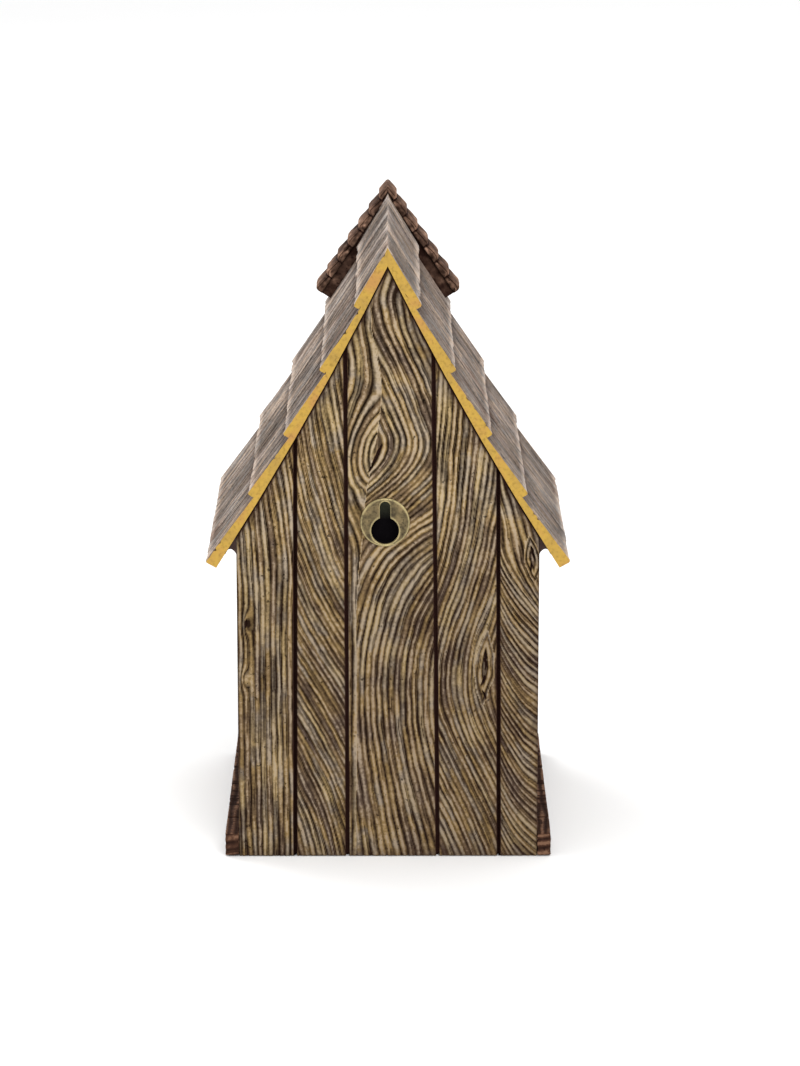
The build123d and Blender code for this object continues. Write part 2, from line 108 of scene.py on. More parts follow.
# ---- Grain ----
RELIEF = 0.85               # depth of the carved grain on the walls
PITCH = 2.3                 # width of one ridge on the walls
FINE = 0.38                 # mesh spacing across the back wall, which the camera sees
COARSE = 0.6                # and across the others
MIDDLE_Z = 100.0            # where a board's width is measured
SIDE_STEPS = (0.0, 0.25, SEAM_WIDE - 0.05, SEAM_WIDE + 0.03, 0.8, 1.05, 1.4)    # mesh lines in from a side
END_STEPS = (0.0, 0.4, 0.9)                                                     # and from an end
SPLIT_DEEP = 1.3            # depth of the splits inside knots
SHADE_FALLOFF_Z = 152.0              # painted shade: the walls are painted darker downwards from here


# ---------------------------------------------------------------- numbers

def round_angles(count):
    return np.linspace(0, 2 * pi, count, endpoint=False)


def box_mm(node):
    """(lowest, highest) corner of a CAD node, in millimetres."""
    low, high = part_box(node)
    return np.array(low) / MM, np.array(high) / MM


def smoothstep(x, low=0.0, high=1.0):
    t = np.clip((x - low) / (high - low), 0.0, 1.0)
    return t * t * (3 - 2 * t)


def close_to(distance, reach, fade):
    """1 close to an edge and 0 from reach on, fading over the last stretch."""
    return smoothstep(reach - distance, 0.0, fade)


def rounded(distance, reach, drop, turn=None):
    """How far a rounded edge falls away by distance in from it: nothing from reach on, drop at turn less."""
    bend = ((reach - distance) / (reach if turn is None else turn)).clip(0, 1)
    return drop * (1 - np.sqrt(1 - bend**2))


def spaced(low, high, pitch):
    return np.linspace(low, high, max(2, int(round((high - low) / pitch)) + 1))


def edged(low, high, steps, pitch):
    """Places from low to high a pitch apart, with closer ones at the given steps in from both ends."""
    steps = np.asarray(steps)
    middle = spaced(low + steps[-1], high - steps[-1], pitch)
    return np.concatenate([low + steps[:-1], middle, high - steps[-2::-1]])


def random_at(ix, iy, seed):
    """A repeatable random number from 0 to 1 for each pair of whole numbers."""
    n = np.asarray(ix).astype(np.int64) * 374761393
    n = n + np.asarray(iy).astype(np.int64) * 668265263 + seed * 974634777
    n = (n ^ (n >> 13)) & 0x7FFFFFFF
    n = (n * 1274126177) & 0x7FFFFFFFFFFF
    n = n ^ (n >> 16)
    return (n & 0xFFFF) / 65535.0


def line_noise(line, along, seed):
    """Random from 0 to 1 for each whole-numbered line, changing smoothly along it."""
    step = np.floor(along)
    t = smoothstep(along - step)
    return random_at(line, step, seed) * (1 - t) + random_at(line, step + 1, seed) * t


def noise(x, y, seed):
    """Smooth noise from -1 to 1."""
    line = np.floor(x)
    t = smoothstep(x - line)
    low = line_noise(line, y, seed)
    high = line_noise(line + 1, y, seed)
    return 2 * (low * (1 - t) + high * t) - 1


HEIGHTS = np.arange(-30.0, 291.0)


def smooth_table(points, blur=17):
    """Values at each whole millimetre of height, through the given points with their corners rounded."""
    raw = np.interp(HEIGHTS, *zip(*points))
    window = np.hanning(blur + 2)[1:-1]
    padded = np.pad(raw, blur // 2, mode="edge")
    return np.convolve(padded, window / window.sum(), mode="valid")


def drift_table(slopes):
    """How far a grain line moves to the left by each height, from its slope at some heights."""
    total = np.cumsum(smooth_table(slopes))
    return total - np.interp(0.0, HEIGHTS, total)


def lookup(table, z):
    return np.interp(z, HEIGHTS, table)


# ---------------------------------------------------------------- grain fields
# Each takes (across, z) as seen from outside, in mm, and gives the ridge number there.

def wander(across, z, seed, amount=1.0):
    """Slow sideways drift of the grain, in ridges."""
    broad = 0.42 * noise(across / 14, z / 45, seed)
    fine = 0.17 * noise(across / 5, z / 15, seed + 1) + 0.07 * noise(across / 1.5, z / 4.5, seed + 2)
    return amount * (broad + fine)


def leaning_grain(slopes, knots=(), seed=1, pitch=PITCH):
    """Lines that follow a slope given by height, bent round small knots."""
    table = drift_table(slopes)

    def field(across, z):
        value = across + lookup(table, z)
        for centre, height, strength, wide, tall in knots:
            value = value + strength * np.exp(-((across - centre) / wide) ** 2 - ((z - height) / tall) ** 2)
        return value / pitch + wander(across, z, seed)

    return field


EYE_AXIS = smooth_table(
    [(0, -12.6), (100, -12.6), (120, -11.4), (135, -9.6), (150, -8.6), (158, -7.2), (171, -4.6),
     (187, -2.4), (196, -2.4), (204, -3.8), (217, -6.5), (228, -6.0), (240, -1)], blur=9)
EYE_CLOSE = smooth_table(   # how far from the axis, beside the eye's middle, each height's lines run
    [(130, 33), (140, 22), (146, 15.5), (150, 11.5), (153.5, 7.8), (158.4, 3.7), (163, 1.0), (168, 0.0),
     (173, 1.0), (177.6, 3.7), (184.5, 7.6), (193.7, 11.6), (205, 15.0), (217, 18.0), (228, 20.5), (240, 21)],
    blur=5)
SWEEP = smooth_table(
    [(0, 13.5), (20, 9), (40, 4), (55, 1), (72, 0), (85, 1.3), (100, 6), (110, 11), (121, 17.5),
     (130, 25), (140, 34), (150, 43)], blur=11)
EYE_FOOT_Z = 152.0
EYE_JOIN = (14.0, 138.0)    # (across, height) where the eye's lines and the sweep's run on into each other
LEFT_DRIFT = drift_table([(60, 0.0), (127, 0.0), (135, 0.43), (EYE_FOOT_Z, 0.43)])
LEFT_PITCH = 2.15
RIGHT_PITCH = 2.45
SWEEP_PITCH = 2.3
SWIRL_PITCH = 3.1
SWIRL_JOIN = (50.0, 118.0)  # (across, height) where the swirl's two directions agree
SPLITS = {                  # (across, height, lean, half width, half height) of the splits inside knots
    "back_board_3": [(-4.3, 165.8, 0.42, 0.75, 5.0), (-6.6, 160.5, 0.6, 0.5, 1.8)],
    "back_board_4": [(38.9, 82.0, 0.05, 0.55, 5.0), (38.0, 73.5, 0.3, 0.6, 2.6),
                     (38.4, 67.5, -0.3, 0.45, 2.2)],
    "back_board_5": [(57.4, 126.0, -0.3, 0.5, 3.2), (56.6, 120.0, 0.2, 0.4, 2.2)],
    "back_board_1": [(-56.6, 97.0, 0.0, 0.5, 2.2)],
}


def eye_left(across, z):
    """The left half of the rings, whose lines drift to the right below the eye and then run upright."""
    level = np.maximum(z, EYE_FOOT_Z)
    drifted = across - (lookup(LEFT_DRIFT, EYE_FOOT_Z) - lookup(LEFT_DRIFT, np.minimum(z, EYE_FOOT_Z)))
    away = lookup(EYE_AXIS, level) - drifted
    close = np.minimum(lookup(EYE_CLOSE, level) * LEFT_PITCH / RIGHT_PITCH, 9.0)
    fade = 10.5 + 11.5 * smoothstep(z, 184.0, 206.0)
    return -(away + close * np.exp(-np.maximum(away, 0) / fade)) / LEFT_PITCH


def eye_right(across, z):
    """The right half of the rings, with long slanting lines above the eye."""
    away = across - lookup(EYE_AXIS, z)
    return (away + lookup(EYE_CLOSE, z) * np.exp(-np.maximum(away, 0) / 100.0)) / RIGHT_PITCH


def eye_sweep(across, z):
    """Lines that sweep off to the left under the hanger, and back to the right at the foot."""
    reach = np.interp(across, (-13.0, 19.0), (0.45, 1.0))
    return (across - lookup(SWEEP, z) * reach) / SWEEP_PITCH


def eye_grain(across, z):
    """The middle board: the eye, with the lines sweeping off below it."""
    join = float(eye_right(*EYE_JOIN) - eye_sweep(*EYE_JOIN))
    low = close_to(z, 146.0, 18.0)
    right = eye_right(across, z) * (1 - low) + (eye_sweep(across, z) + join) * low
    lines = np.where(across < lookup(EYE_AXIS, z), eye_left(across, z), right)
    rough = 0.07 * noise(across / 1.5, z / 4.0, 33)
    return lines + rough + 0.10 * noise(across / 6, z / 14, 31) + 0.16 * noise(across / 11, z / 30, 32)


def swirl_grain(left):
    """The right-hand board: lines sweeping down to the right, more upright near the top."""
    steps = np.linspace(0.0, 17.0, 60)
    fall = np.concatenate([[0.0], np.cumsum(2.5 * (0.29 ** (steps[:-1] / 16)) * np.diff(steps))])

    def lower(across, z):
        return z + np.interp(across - left, steps, fall)

    def upright(across, z):
        return 1.25 * across + 0.28 * z

    match = float(lower(*SWIRL_JOIN) - upright(*SWIRL_JOIN))

    def field(across, z):
        blend = smoothstep(z + 1.2 * (across - left), 112.0, 142.0)
        bent = lower(across, z) * (1 - blend) + (upright(across, z) + match) * blend
        return bent / SWIRL_PITCH + wander(across, z, 51, 0.8)

    return field


def with_almond(field, centre, level, half_wide, half_tall, lean, rings):
    """A grain field with a knot of closed rings set into it."""
    def knotted(across, z):
        up = (z - level) / half_tall
        side = (across - centre - lean * (z - level)) / half_wide
        reach = np.abs(side) + np.abs(up) ** 1.6
        reach = reach + 0.10 * noise(across / 2.0, z / 5.0, 61)
        return np.where(reach < 1.0, rings * reach + 0.5, field(across, z))

    return knotted


def plain_grain(seed, lean=0.06):
    """Gently wavering upright grain with one or two knots, for the boards that the back does not show."""
    chance = np.random.default_rng(seed)
    slopes = [(z, chance.uniform(-lean, lean) * 2) for z in range(-20, 280, 45)]
    knots = []
    for _ in range(2):
        wide = chance.uniform(2.2, 3.6)
        knots.append((chance.uniform(-60, 60), chance.uniform(20, 190), 1.9 * wide, wide, 3.2 * wide))
    return leaning_grain(slopes, knots, seed)


def carve(field, across, z, seed):
    """Height from 0, the bottom of a groove, to 1, and the ridge's own tone from 0 to 1."""
    phi = field(across, z)
    step = 0.25
    slope_across = (field(across + step, z) - phi) / step
    slope_up = (field(across, z + step) - phi) / step
    spacing = 1 / np.maximum(np.hypot(slope_across, slope_up), 1e-6)
    strength = smoothstep(spacing, 0.25, 1.0)
    ridge = np.floor(phi)
    part = phi - ridge
    near = np.where(part < 0.5, ridge, ridge + 1)
    distance = np.minimum(part, 1 - part)
    along = z / 11.0
    deep = 0.66 + 0.34 * smoothstep(line_noise(near, along, seed), 0.1, 0.6)
    narrow = 0.44 + 0.60 * line_noise(near, along * 0.8, seed + 1)
    round_top = np.sin(pi * distance) ** narrow
    tone = line_noise(ridge, z / 26.0, seed + 2)
    low_ridge = 0.24 * line_noise(ridge, z / 34.0, seed + 3) ** 2
    second = 0.55 + 0.25 * line_noise(ridge, z / 18.0, seed + 5)
    scratched = smoothstep(line_noise(ridge, z / 9.0, seed + 6), 0.42, 0.72)
    scratch = np.exp(-((part - second) / 0.09) ** 2) * scratched
    height = 1 - deep * (1 - round_top) - low_ridge * round_top - 0.50 * scratch
    return np.clip(1 - strength * (1 - height), 0.0, 1.0), tone


def plain_carve(pitch, across, along, seed):
    """Straight grain with ridges a pitch wide."""
    return carve(lambda a, b: a / pitch + wander(a, b, seed), across, along, seed)


# ---------------------------------------------------------------- meshes

def signed_volume(points, polygons):
    """Positive where the polygons face outwards."""
    total = 0.0
    for group in polygons:
        corners = points[group]
        for n in range(1, group.shape[1] - 1):
            total += np.einsum("ij,ij->", corners[:, 0], np.cross(corners[:, n], corners[:, n + 1]))
    return total


def make_mesh(name, points, polygons, painted, grain):
    """A mesh from points in mm and arrays of equal-sided polygons; painted is each array's material."""
    if signed_volume(points, polygons) < 0:
        polygons = [group[:, ::-1] for group in polygons]
    sizes = np.concatenate([np.full(len(group), group.shape[1]) for group in polygons])
    corners = np.concatenate([group.ravel() for group in polygons]).astype(np.int32)
    mesh = bpy.data.meshes.new(name)
    mesh.vertices.add(len(points))
    mesh.vertices.foreach_set("co", (points * MM).astype(np.float32).ravel())
    mesh.loops.add(len(corners))
    mesh.loops.foreach_set("vertex_index", corners)
    mesh.polygons.add(len(sizes))
    mesh.polygons.foreach_set("loop_start", (np.cumsum(sizes) - sizes).astype(np.int32))
    index = np.concatenate([np.full(len(group), paint) for group, paint in zip(polygons, painted)])
    mesh.polygons.foreach_set("material_index", index.astype(np.int32))
    mesh.polygons.foreach_set("use_smooth", np.ones(len(sizes), bool))
    mesh.update(calc_edges=True)
    mesh.validate()
    colours = mesh.color_attributes.new(name="Grain", type="FLOAT_COLOR", domain="POINT")
    rgba = np.ones((len(points), 4), np.float32)
    rgba[:, :3] = grain
    colours.data.foreach_set("color", rgba.ravel())
    mesh.set_sharp_from_angle(angle=radians(58))
    return mesh


def rim(grid):
    """The vertex numbers round the edge of a grid, in order."""
    return np.concatenate([grid[:-1, 0], grid[-1, :-1], grid[:0:-1, -1], grid[0, :0:-1]])


def brick(name, us, vs, ws, place, flat=("w0",), ruled=(), paint=None):
    """A closed box lattice bent into shape by place(u, v, w), which gives points and grain.
    A flat side becomes one polygon, and a ruled one long strips along v, instead of a grid."""
    counts = (len(us), len(vs), len(ws))
    keep = np.zeros(counts, bool)
    sides = [(axis, end) for axis in range(3) for end in (0, -1)]
    for axis, end in sides:
        index = [slice(None)] * 3
        index[axis] = end
        keep[tuple(index)] = True
    names = {"uvw"[axis] + "01"[end]: (axis, end) for axis, end in sides}
    for side in (*flat, *ruled):
        axis, end = names[side]
        index = [slice(1, -1)] * 3
        index[axis] = end
        keep[tuple(index)] = False
    ids = np.full(counts, -1)
    ids[keep] = np.arange(keep.sum())
    i, j, k = np.nonzero(keep)
    points, grain = place(np.asarray(us)[i], np.asarray(vs)[j], np.asarray(ws)[k])
    polygons, painted = [], []
    for side, (axis, end) in names.items():
        grid = ids.take(end, axis=axis)
        if side in flat:
            made = [rim(grid)[None, :]]
        elif side in ruled:
            first = np.concatenate([[grid[0, 0], grid[1, 0], grid[1, -1]], grid[0, :0:-1]])
            last = np.concatenate([[grid[-2, 0]], grid[-1, :], [grid[-2, -1]]])
            middle = np.stack([grid[1:-2, 0], grid[2:-1, 0], grid[2:-1, -1], grid[1:-2, -1]], axis=1)
            made = [first[None, :], last[None, :], middle]
        else:
            quads = np.stack([grid[:-1, :-1], grid[1:, :-1], grid[1:, 1:], grid[:-1, 1:]], axis=2)
            made = [quads.reshape(-1, 4)]
        if (axis == 1) != (end == 0):
            made = [group[:, ::-1] for group in made]
        polygons += made
        painted += [(paint or {}).get(side, 0)] * len(made)
    return make_mesh(name, points, polygons, painted, grain)


def sweep(name, rows, grain, closed=True, capped=False, paint=0):
    """A skin over rows of points, each row a closed ring. Closed joins the last row to the first."""
    count, around = rows.shape[:2]
    ids = np.arange(count * around).reshape(count, around)
    across = np.roll(ids, -1, axis=1)
    if closed:
        low, low_next = ids, across
        high, high_next = np.roll(ids, -1, axis=0), np.roll(across, -1, axis=0)
    else:
        low, low_next, high, high_next = ids[:-1], across[:-1], ids[1:], across[1:]
    quads = np.stack([low, low_next, high_next, high], axis=2).reshape(-1, 4)
    polygons = [quads]
    if capped:
        polygons += [ids[0][None, ::-1], ids[-1][None, :]]
    return make_mesh(name, rows.reshape(-1, 3), polygons, [paint] * len(polygons), grain.reshape(-1, 3))


def grain_of(height, tone, dirt_and_shade):
    """The three Grain channels of some points. Each is an array, or one value for all of them."""
    return np.stack(np.broadcast_arrays(np.clip(height, 0, 1), tone, dirt_and_shade), axis=1)


def piece(mesh, materials, nodes, body="house"):
    """Puts a mesh in the scene as the stand-in for its CAD nodes."""
    obj = bpy.data.objects.new(mesh.name, mesh)
    bpy.context.scene.collection.objects.link(obj)
    for material in materials:
        mesh.materials.append(material)
    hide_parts(*nodes)
    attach(obj, body)
    return obj


def cut(obj, tools):
    """Cuts the tool meshes out of a piece's mesh."""
    for tool in tools:
        cutter = bpy.data.objects.new("cutter", tool)
        bpy.context.scene.collection.objects.link(cutter)
        for material in obj.data.materials:
            tool.materials.append(material)
        modifier = obj.modifiers.new("cut", "BOOLEAN")
        modifier.operation = "DIFFERENCE"
        modifier.solver = "EXACT"
        modifier.object = cutter
        bpy.context.view_layer.update()
        shaped = bpy.data.meshes.new_from_object(obj.evaluated_get(bpy.context.evaluated_depsgraph_get()))
        obj.modifiers.clear()
        shaped.name = obj.name
        obj.data = shaped
        bpy.data.objects.remove(cutter)


# ---------------------------------------------------------------- materials

def new_material(name):
    """An empty material and its node tree."""
    material = bpy.data.materials.new(name)
    material.use_nodes = True
    tree = material.node_tree
    tree.nodes.clear()
    return material, tree


def add(tree, kind, inputs=None, **settings):
    """A node with its settings, its inputs set to numbers or linked to other nodes' outputs."""
    node = tree.nodes.new(kind)
    for key, value in settings.items():
        setattr(node, key, value)
    for key, value in (inputs or {}).items():
        if isinstance(value, bpy.types.NodeSocket):
            tree.links.new(value, node.inputs[key])
        else:
            node.inputs[key].default_value = value
    return node


def math(tree, operation, a, b=0.5, clamp=False):
    return add(tree, "ShaderNodeMath", {0: a, 1: b}, operation=operation, use_clamp=clamp).outputs[0]


def ramp(tree, factor, stops):
    """A colour ramp from (place, colour) stops."""
    node = add(tree, "ShaderNodeValToRGB", {"Fac": factor})
    elements = node.color_ramp.elements
    while len(elements) < len(stops):
        elements.new(0.5)
    for element, (place, colour) in zip(elements, stops):
        element.position = place
        element.color = (*colour, 1.0)
    return node.outputs["Color"]


def grey(tree, factor, *stops):
    """A ramp of greys from (place, level) stops."""
    return ramp(tree, factor, [(place, (level,) * 3) for place, level in stops])


def vary(tree, value, noisy, share, clamp=False):
    """A value moved up and down by noise."""
    swing = math(tree, "MULTIPLY", math(tree, "SUBTRACT", noisy), share)
    return math(tree, "ADD", value, swing, clamp=clamp)


def mix(tree, factor, a, b, blend="MIX"):
    node = add(tree, "ShaderNodeMix", data_type="RGBA", blend_type=blend)
    sockets = {"Factor": factor, "A": a, "B": b}
    for socket in node.inputs:
        if socket.enabled and socket.name in sockets:
            value = sockets[socket.name]
            if isinstance(value, bpy.types.NodeSocket):
                tree.links.new(value, socket)
            elif isinstance(value, tuple):
                socket.default_value = (*value, 1.0)
            else:
                socket.default_value = value
    return next(s for s in node.outputs if s.enabled)


def grain_channels(tree):
    """The height, tone, and dirt with painted shade that the mesh carries."""
    grain = add(tree, "ShaderNodeAttribute", attribute_name="Grain", attribute_type="GEOMETRY")
    return add(tree, "ShaderNodeSeparateColor", {"Color": grain.outputs["Color"]}).outputs


def noise_node(tree, scale, detail=3.0, stretch=(1.0, 1.0, 1.0)):
    """Noise in the piece's own coordinates; a small stretch value draws it out along that axis."""
    place = add(tree, "ShaderNodeTexCoord").outputs["Object"]
    mapped = add(tree, "ShaderNodeMapping", {"Vector": place, "Scale": stretch}).outputs["Vector"]
    inputs = {"Vector": mapped, "Scale": scale, "Detail": detail, "Roughness": 0.55}
    return add(tree, "ShaderNodeTexNoise", inputs).outputs["Fac"]


def carved_wood(name, groove, tones, light, fibre=(1.0, 1.0, 0.12), dry=0.5, specular=0.12):
    """Painted carved wood: dark in the grooves, a tone for each ridge, and a dry-brushed crest."""
    material, tree = new_material(name)
    height, tone, dirt_and_shade_amount = grain_channels(tree)
    speckle = noise_node(tree, 850.0, 4.0)
    patches = noise_node(tree, 75.0, 3.0)
    streaks = noise_node(tree, 520.0, 3.0, fibre)
    worn = vary(tree, height, speckle, 0.62)
    worn = vary(tree, worn, patches, 0.42)
    worn = vary(tree, worn, streaks, 0.30, clamp=True)
    body = ramp(tree, vary(tree, tone, patches, 1.1, clamp=True), tones)
    colour = mix(tree, grey(tree, worn, (0.20, 0.0), (0.56, 0.38), (0.88, 1.0)), groove, body)
    colour = mix(tree, grey(tree, worn, (0.78, 0.0), (0.98, dry)), colour, light)
    pits = grey(tree, noise_node(tree, 620.0, 2.0), (0.27, 0.25), (0.34, 1.0))
    colour = mix(tree, 1.0, colour, pits, "MULTIPLY")
    # The third channel mixes in one dark colour, for real dirt and for painted shade under the eaves, low on
    # the walls and below the roof's butts.
    dirt_and_shade_mix = math(tree, "MULTIPLY", dirt_and_shade_amount, math(tree, "ADD", streaks, 0.45), clamp=True)
    colour = mix(tree, dirt_and_shade_mix, colour, DIRT_AND_SHADE)
    roughness = grey(tree, worn, (0.0, 0.85), (1.0, 0.65))
    relief = math(tree, "ADD", math(tree, "MULTIPLY", speckle, 0.6), math(tree, "MULTIPLY", streaks, 0.9))
    finish(tree, colour, roughness, (relief, 0.8, 0.0003), specular=specular)
    return material


def finish(tree, colour, roughness, relief, metallic=0.0, specular=0.12):
    """Principled shader and output. relief is the fine bumps' (height, strength, distance in metres)."""
    height, strength, distance = relief
    bump = add(tree, "ShaderNodeBump", {"Height": height, "Strength": strength, "Distance": distance})
    shader = add(tree, "ShaderNodeBsdfPrincipled", {
        "Base Color": colour, "Roughness": roughness, "Normal": bump.outputs["Normal"],
        "Metallic": metallic, "Specular IOR Level": specular})
    add(tree, "ShaderNodeOutputMaterial", {"Surface": shader.outputs["BSDF"]})


# Dark colour for dirt, also used for painted shade.
DIRT_AND_SHADE = (0.026, 0.010, 0.008)
WALL_GROOVE = (0.014, 0.0075, 0.0035)
WALL_TONES = [(0.0, (0.145, 0.102, 0.072)), (0.28, (0.240, 0.158, 0.078)), (0.5, (0.325, 0.215, 0.088)),
              (0.7, (0.215, 0.172, 0.128)), (1.0, (0.368, 0.260, 0.118))]
ROOF_TONES = [(0.0, (0.330, 0.230, 0.182)), (0.25, (0.465, 0.357, 0.290)), (0.45, (0.345, 0.315, 0.292)),
              (0.62, (0.520, 0.392, 0.296)), (0.8, (0.390, 0.320, 0.285)), (1.0, (0.430, 0.385, 0.372))]
HOOD_TONES = [(0.0, (0.165, 0.092, 0.064)), (0.5, (0.250, 0.146, 0.100)), (1.0, (0.325, 0.192, 0.130))]
PLINTH_TONES = [(0.0, (0.060, 0.027, 0.017)), (0.5, (0.090, 0.043, 0.026)), (1.0, (0.125, 0.062, 0.038))]
DECK_TONES = [(0.0, (0.045, 0.026, 0.022)), (1.0, (0.095, 0.060, 0.050))]
TRIM_TONES = [(0.0, (0.105, 0.060, 0.034)), (0.5, (0.165, 0.098, 0.048)), (1.0, (0.220, 0.136, 0.062))]
INNER_TONES = [(0.0, (0.30, 0.20, 0.11)), (0.5, (0.38, 0.27, 0.15)), (1.0, (0.44, 0.32, 0.18))]


def gold_paint():
    """Ochre-gold paint on the cut ends of the shingles, worn orange in places and dark in its nicks."""
    material, tree = new_material("gold_edge")
    nicked = grain_channels(tree)[2]
    speckle = noise_node(tree, 700.0, 4.0)
    patches = noise_node(tree, 90.0, 2.0)
    body = ramp(tree, patches, [(0.30, (0.360, 0.225, 0.052)), (0.5, (0.430, 0.268, 0.050)),
                                (0.68, (0.400, 0.212, 0.062))])
    freckles = ramp(tree, speckle, [(0.30, (0.72,) * 3), (0.48, (1.0,) * 3), (0.8, (1.12, 1.1, 1.0))])
    colour = mix(tree, 1.0, body, freckles, "MULTIPLY")
    colour = mix(tree, grey(tree, nicked, (0.25, 0.0), (0.8, 1.0)), colour, (0.035, 0.022, 0.014))
    finish(tree, colour, grey(tree, speckle, (0.3, 0.62), (0.7, 0.48)), (speckle, 0.5, 0.0002))
    return material


def bronze():
    """Olive-gold aged metal for the hanger, with bare bright edges and dark pitting."""
    material, tree = new_material("hanger_bronze")
    bare = grain_channels(tree)[0]
    blotch = noise_node(tree, 260.0, 4.0)
    pits = noise_node(tree, 1400.0, 3.0)
    body = ramp(tree, blotch, [(0.34, (0.060, 0.044, 0.021)), (0.5, (0.135, 0.100, 0.046)),
                               (0.64, (0.215, 0.155, 0.072))])
    edge = math(tree, "MULTIPLY", bare, math(tree, "ADD", blotch, 0.35), clamp=True)
    colour = mix(tree, edge, body, (0.50, 0.41, 0.20))
    colour = mix(tree, 1.0, colour, grey(tree, pits, (0.30, 0.35), (0.45, 1.0)), "MULTIPLY")
    roughness = grey(tree, blotch, (0.3, 0.62), (0.7, 0.42))
    finish(tree, colour, roughness, (pits, 0.6, 0.00018), metallic=0.4, specular=0.3)
    return material


def keyhole_painted_shade_and_sheen():
    """Painted shade and reflection for the inside of the keyhole: black painted shade in the round hole, and
    a dull grey-green painted reflection up in the slot.
    """
    material, tree = new_material("keyhole_painted_shade")
    place = add(tree, "ShaderNodeTexCoord").outputs["Object"]
    up = add(tree, "ShaderNodeSeparateXYZ", {"Vector": place}).outputs["Z"]
    blotch = noise_node(tree, 420.0, 3.0)
    rise = math(tree, "SUBTRACT", up, (HANGER_HOLE_Z + 3.0) * MM)
    share = math(tree, "MULTIPLY", rise, 1 / (6.0 * MM), clamp=True)
    share = math(tree, "MULTIPLY", share, math(tree, "ADD", blotch, 0.4), clamp=True)
    # Painted shade low in the round hole, and a painted reflection higher up the slot.
    colour = ramp(tree, share, [(0.0, (0.004, 0.003, 0.004)), (0.35, (0.020, 0.020, 0.015)),
                                (1.0, (0.085, 0.088, 0.060))])
    roughness = grey(tree, blotch, (0.3, 0.95), (0.7, 0.8))
    finish(tree, colour, roughness, (blotch, 0.5, 0.0002), specular=0.05)
    return material


def steel(name, colour_low, colour_high):
    """Dull galvanised steel for the pins and the screw."""
    material, tree = new_material(name)
    blotch = noise_node(tree, 500.0, 4.0)
    scratches = noise_node(tree, 900.0, 3.0, (1.0, 0.1, 1.0))
    colour = ramp(tree, blotch, [(0.35, colour_low), (0.65, colour_high)])
    roughness = grey(tree, scratches, (0.3, 0.5), (0.7, 0.32))
    finish(tree, colour, roughness, (scratches, 0.4, 0.0001), metallic=0.9, specular=0.5)
    return material


WALL = carved_wood("wall_wood", WALL_GROOVE, WALL_TONES, (0.430, 0.345, 0.248), dry=0.62, specular=0.03)
ROOF = carved_wood("roof_shingle", (0.022, 0.014, 0.011), ROOF_TONES, (0.600, 0.495, 0.410), dry=0.5,
                   fibre=(0.15, 1.0, 0.15), specular=0.02)
HOOD = carved_wood("hood_shingle", (0.018, 0.009, 0.006), HOOD_TONES, (0.500, 0.310, 0.215), dry=0.9,
                   fibre=(0.3, 1.0, 0.3), specular=0.02)
PLINTH = carved_wood("plinth_block", (0.020, 0.009, 0.006), PLINTH_TONES, (0.260, 0.145, 0.088), dry=0.6,
                     specular=0.04)
DECK = carved_wood("deck_wood", (0.018, 0.010, 0.009), DECK_TONES, (0.16, 0.11, 0.09), dry=0.3)
TRIM = carved_wood("trim_wood", (0.030, 0.018, 0.012), TRIM_TONES, (0.38, 0.27, 0.15), dry=0.5)
INNER = carved_wood("inner_wood", (0.13, 0.08, 0.04), INNER_TONES, (0.52, 0.40, 0.25), dry=0.2)
POCKET = keyhole_painted_shade_and_sheen()
GOLD = gold_paint()
BRONZE = bronze()
STEEL = steel("screw_steel", (0.15, 0.14, 0.13), (0.28, 0.27, 0.25))


# ---------------------------------------------------------------- shapes shared with the CAD

def course_ends():
    return np.cumsum(COURSE_LENGTHS)


def sag(along):
    knots = np.concatenate([[0.0], course_ends()])
    length = knots[-1]
    return np.interp(along, knots, ROOF_SAG * 4 * knots * (length - knots) / length**2)


def roof_point(along, out):
    """(x, z) at a distance down the slope and a height above the shingles' underside."""
    height = out - sag(along)
    x = along * cos(ROOF_ANGLE) + height * sin(ROOF_ANGLE)
    return x, ROOF_APEX_Z - along * sin(ROOF_ANGLE) + height * cos(ROOF_ANGLE)


def under_roof(x, depth=0.0):
    """Height of the shingles' underside, or of a plane that far below it, at a distance from the middle."""
    line = [roof_point(k, -depth) for k in (0.0, *course_ends())]
    line[0] = (0.0, ROOF_APEX_Z - depth / cos(ROOF_ANGLE))
    return np.interp(np.abs(x), *zip(*line))


# ---------------------------------------------------------------- upright boards

VIEWS = {                   # (across, out) directions as seen from outside
    "back": ((-1, 0, 0), (0, 1, 0)),
    "front": ((1, 0, 0), (0, -1, 0)),
    "left": ((0, -1, 0), (-1, 0, 0)),
    "right": ((0, 1, 0), (1, 0, 0)),
}


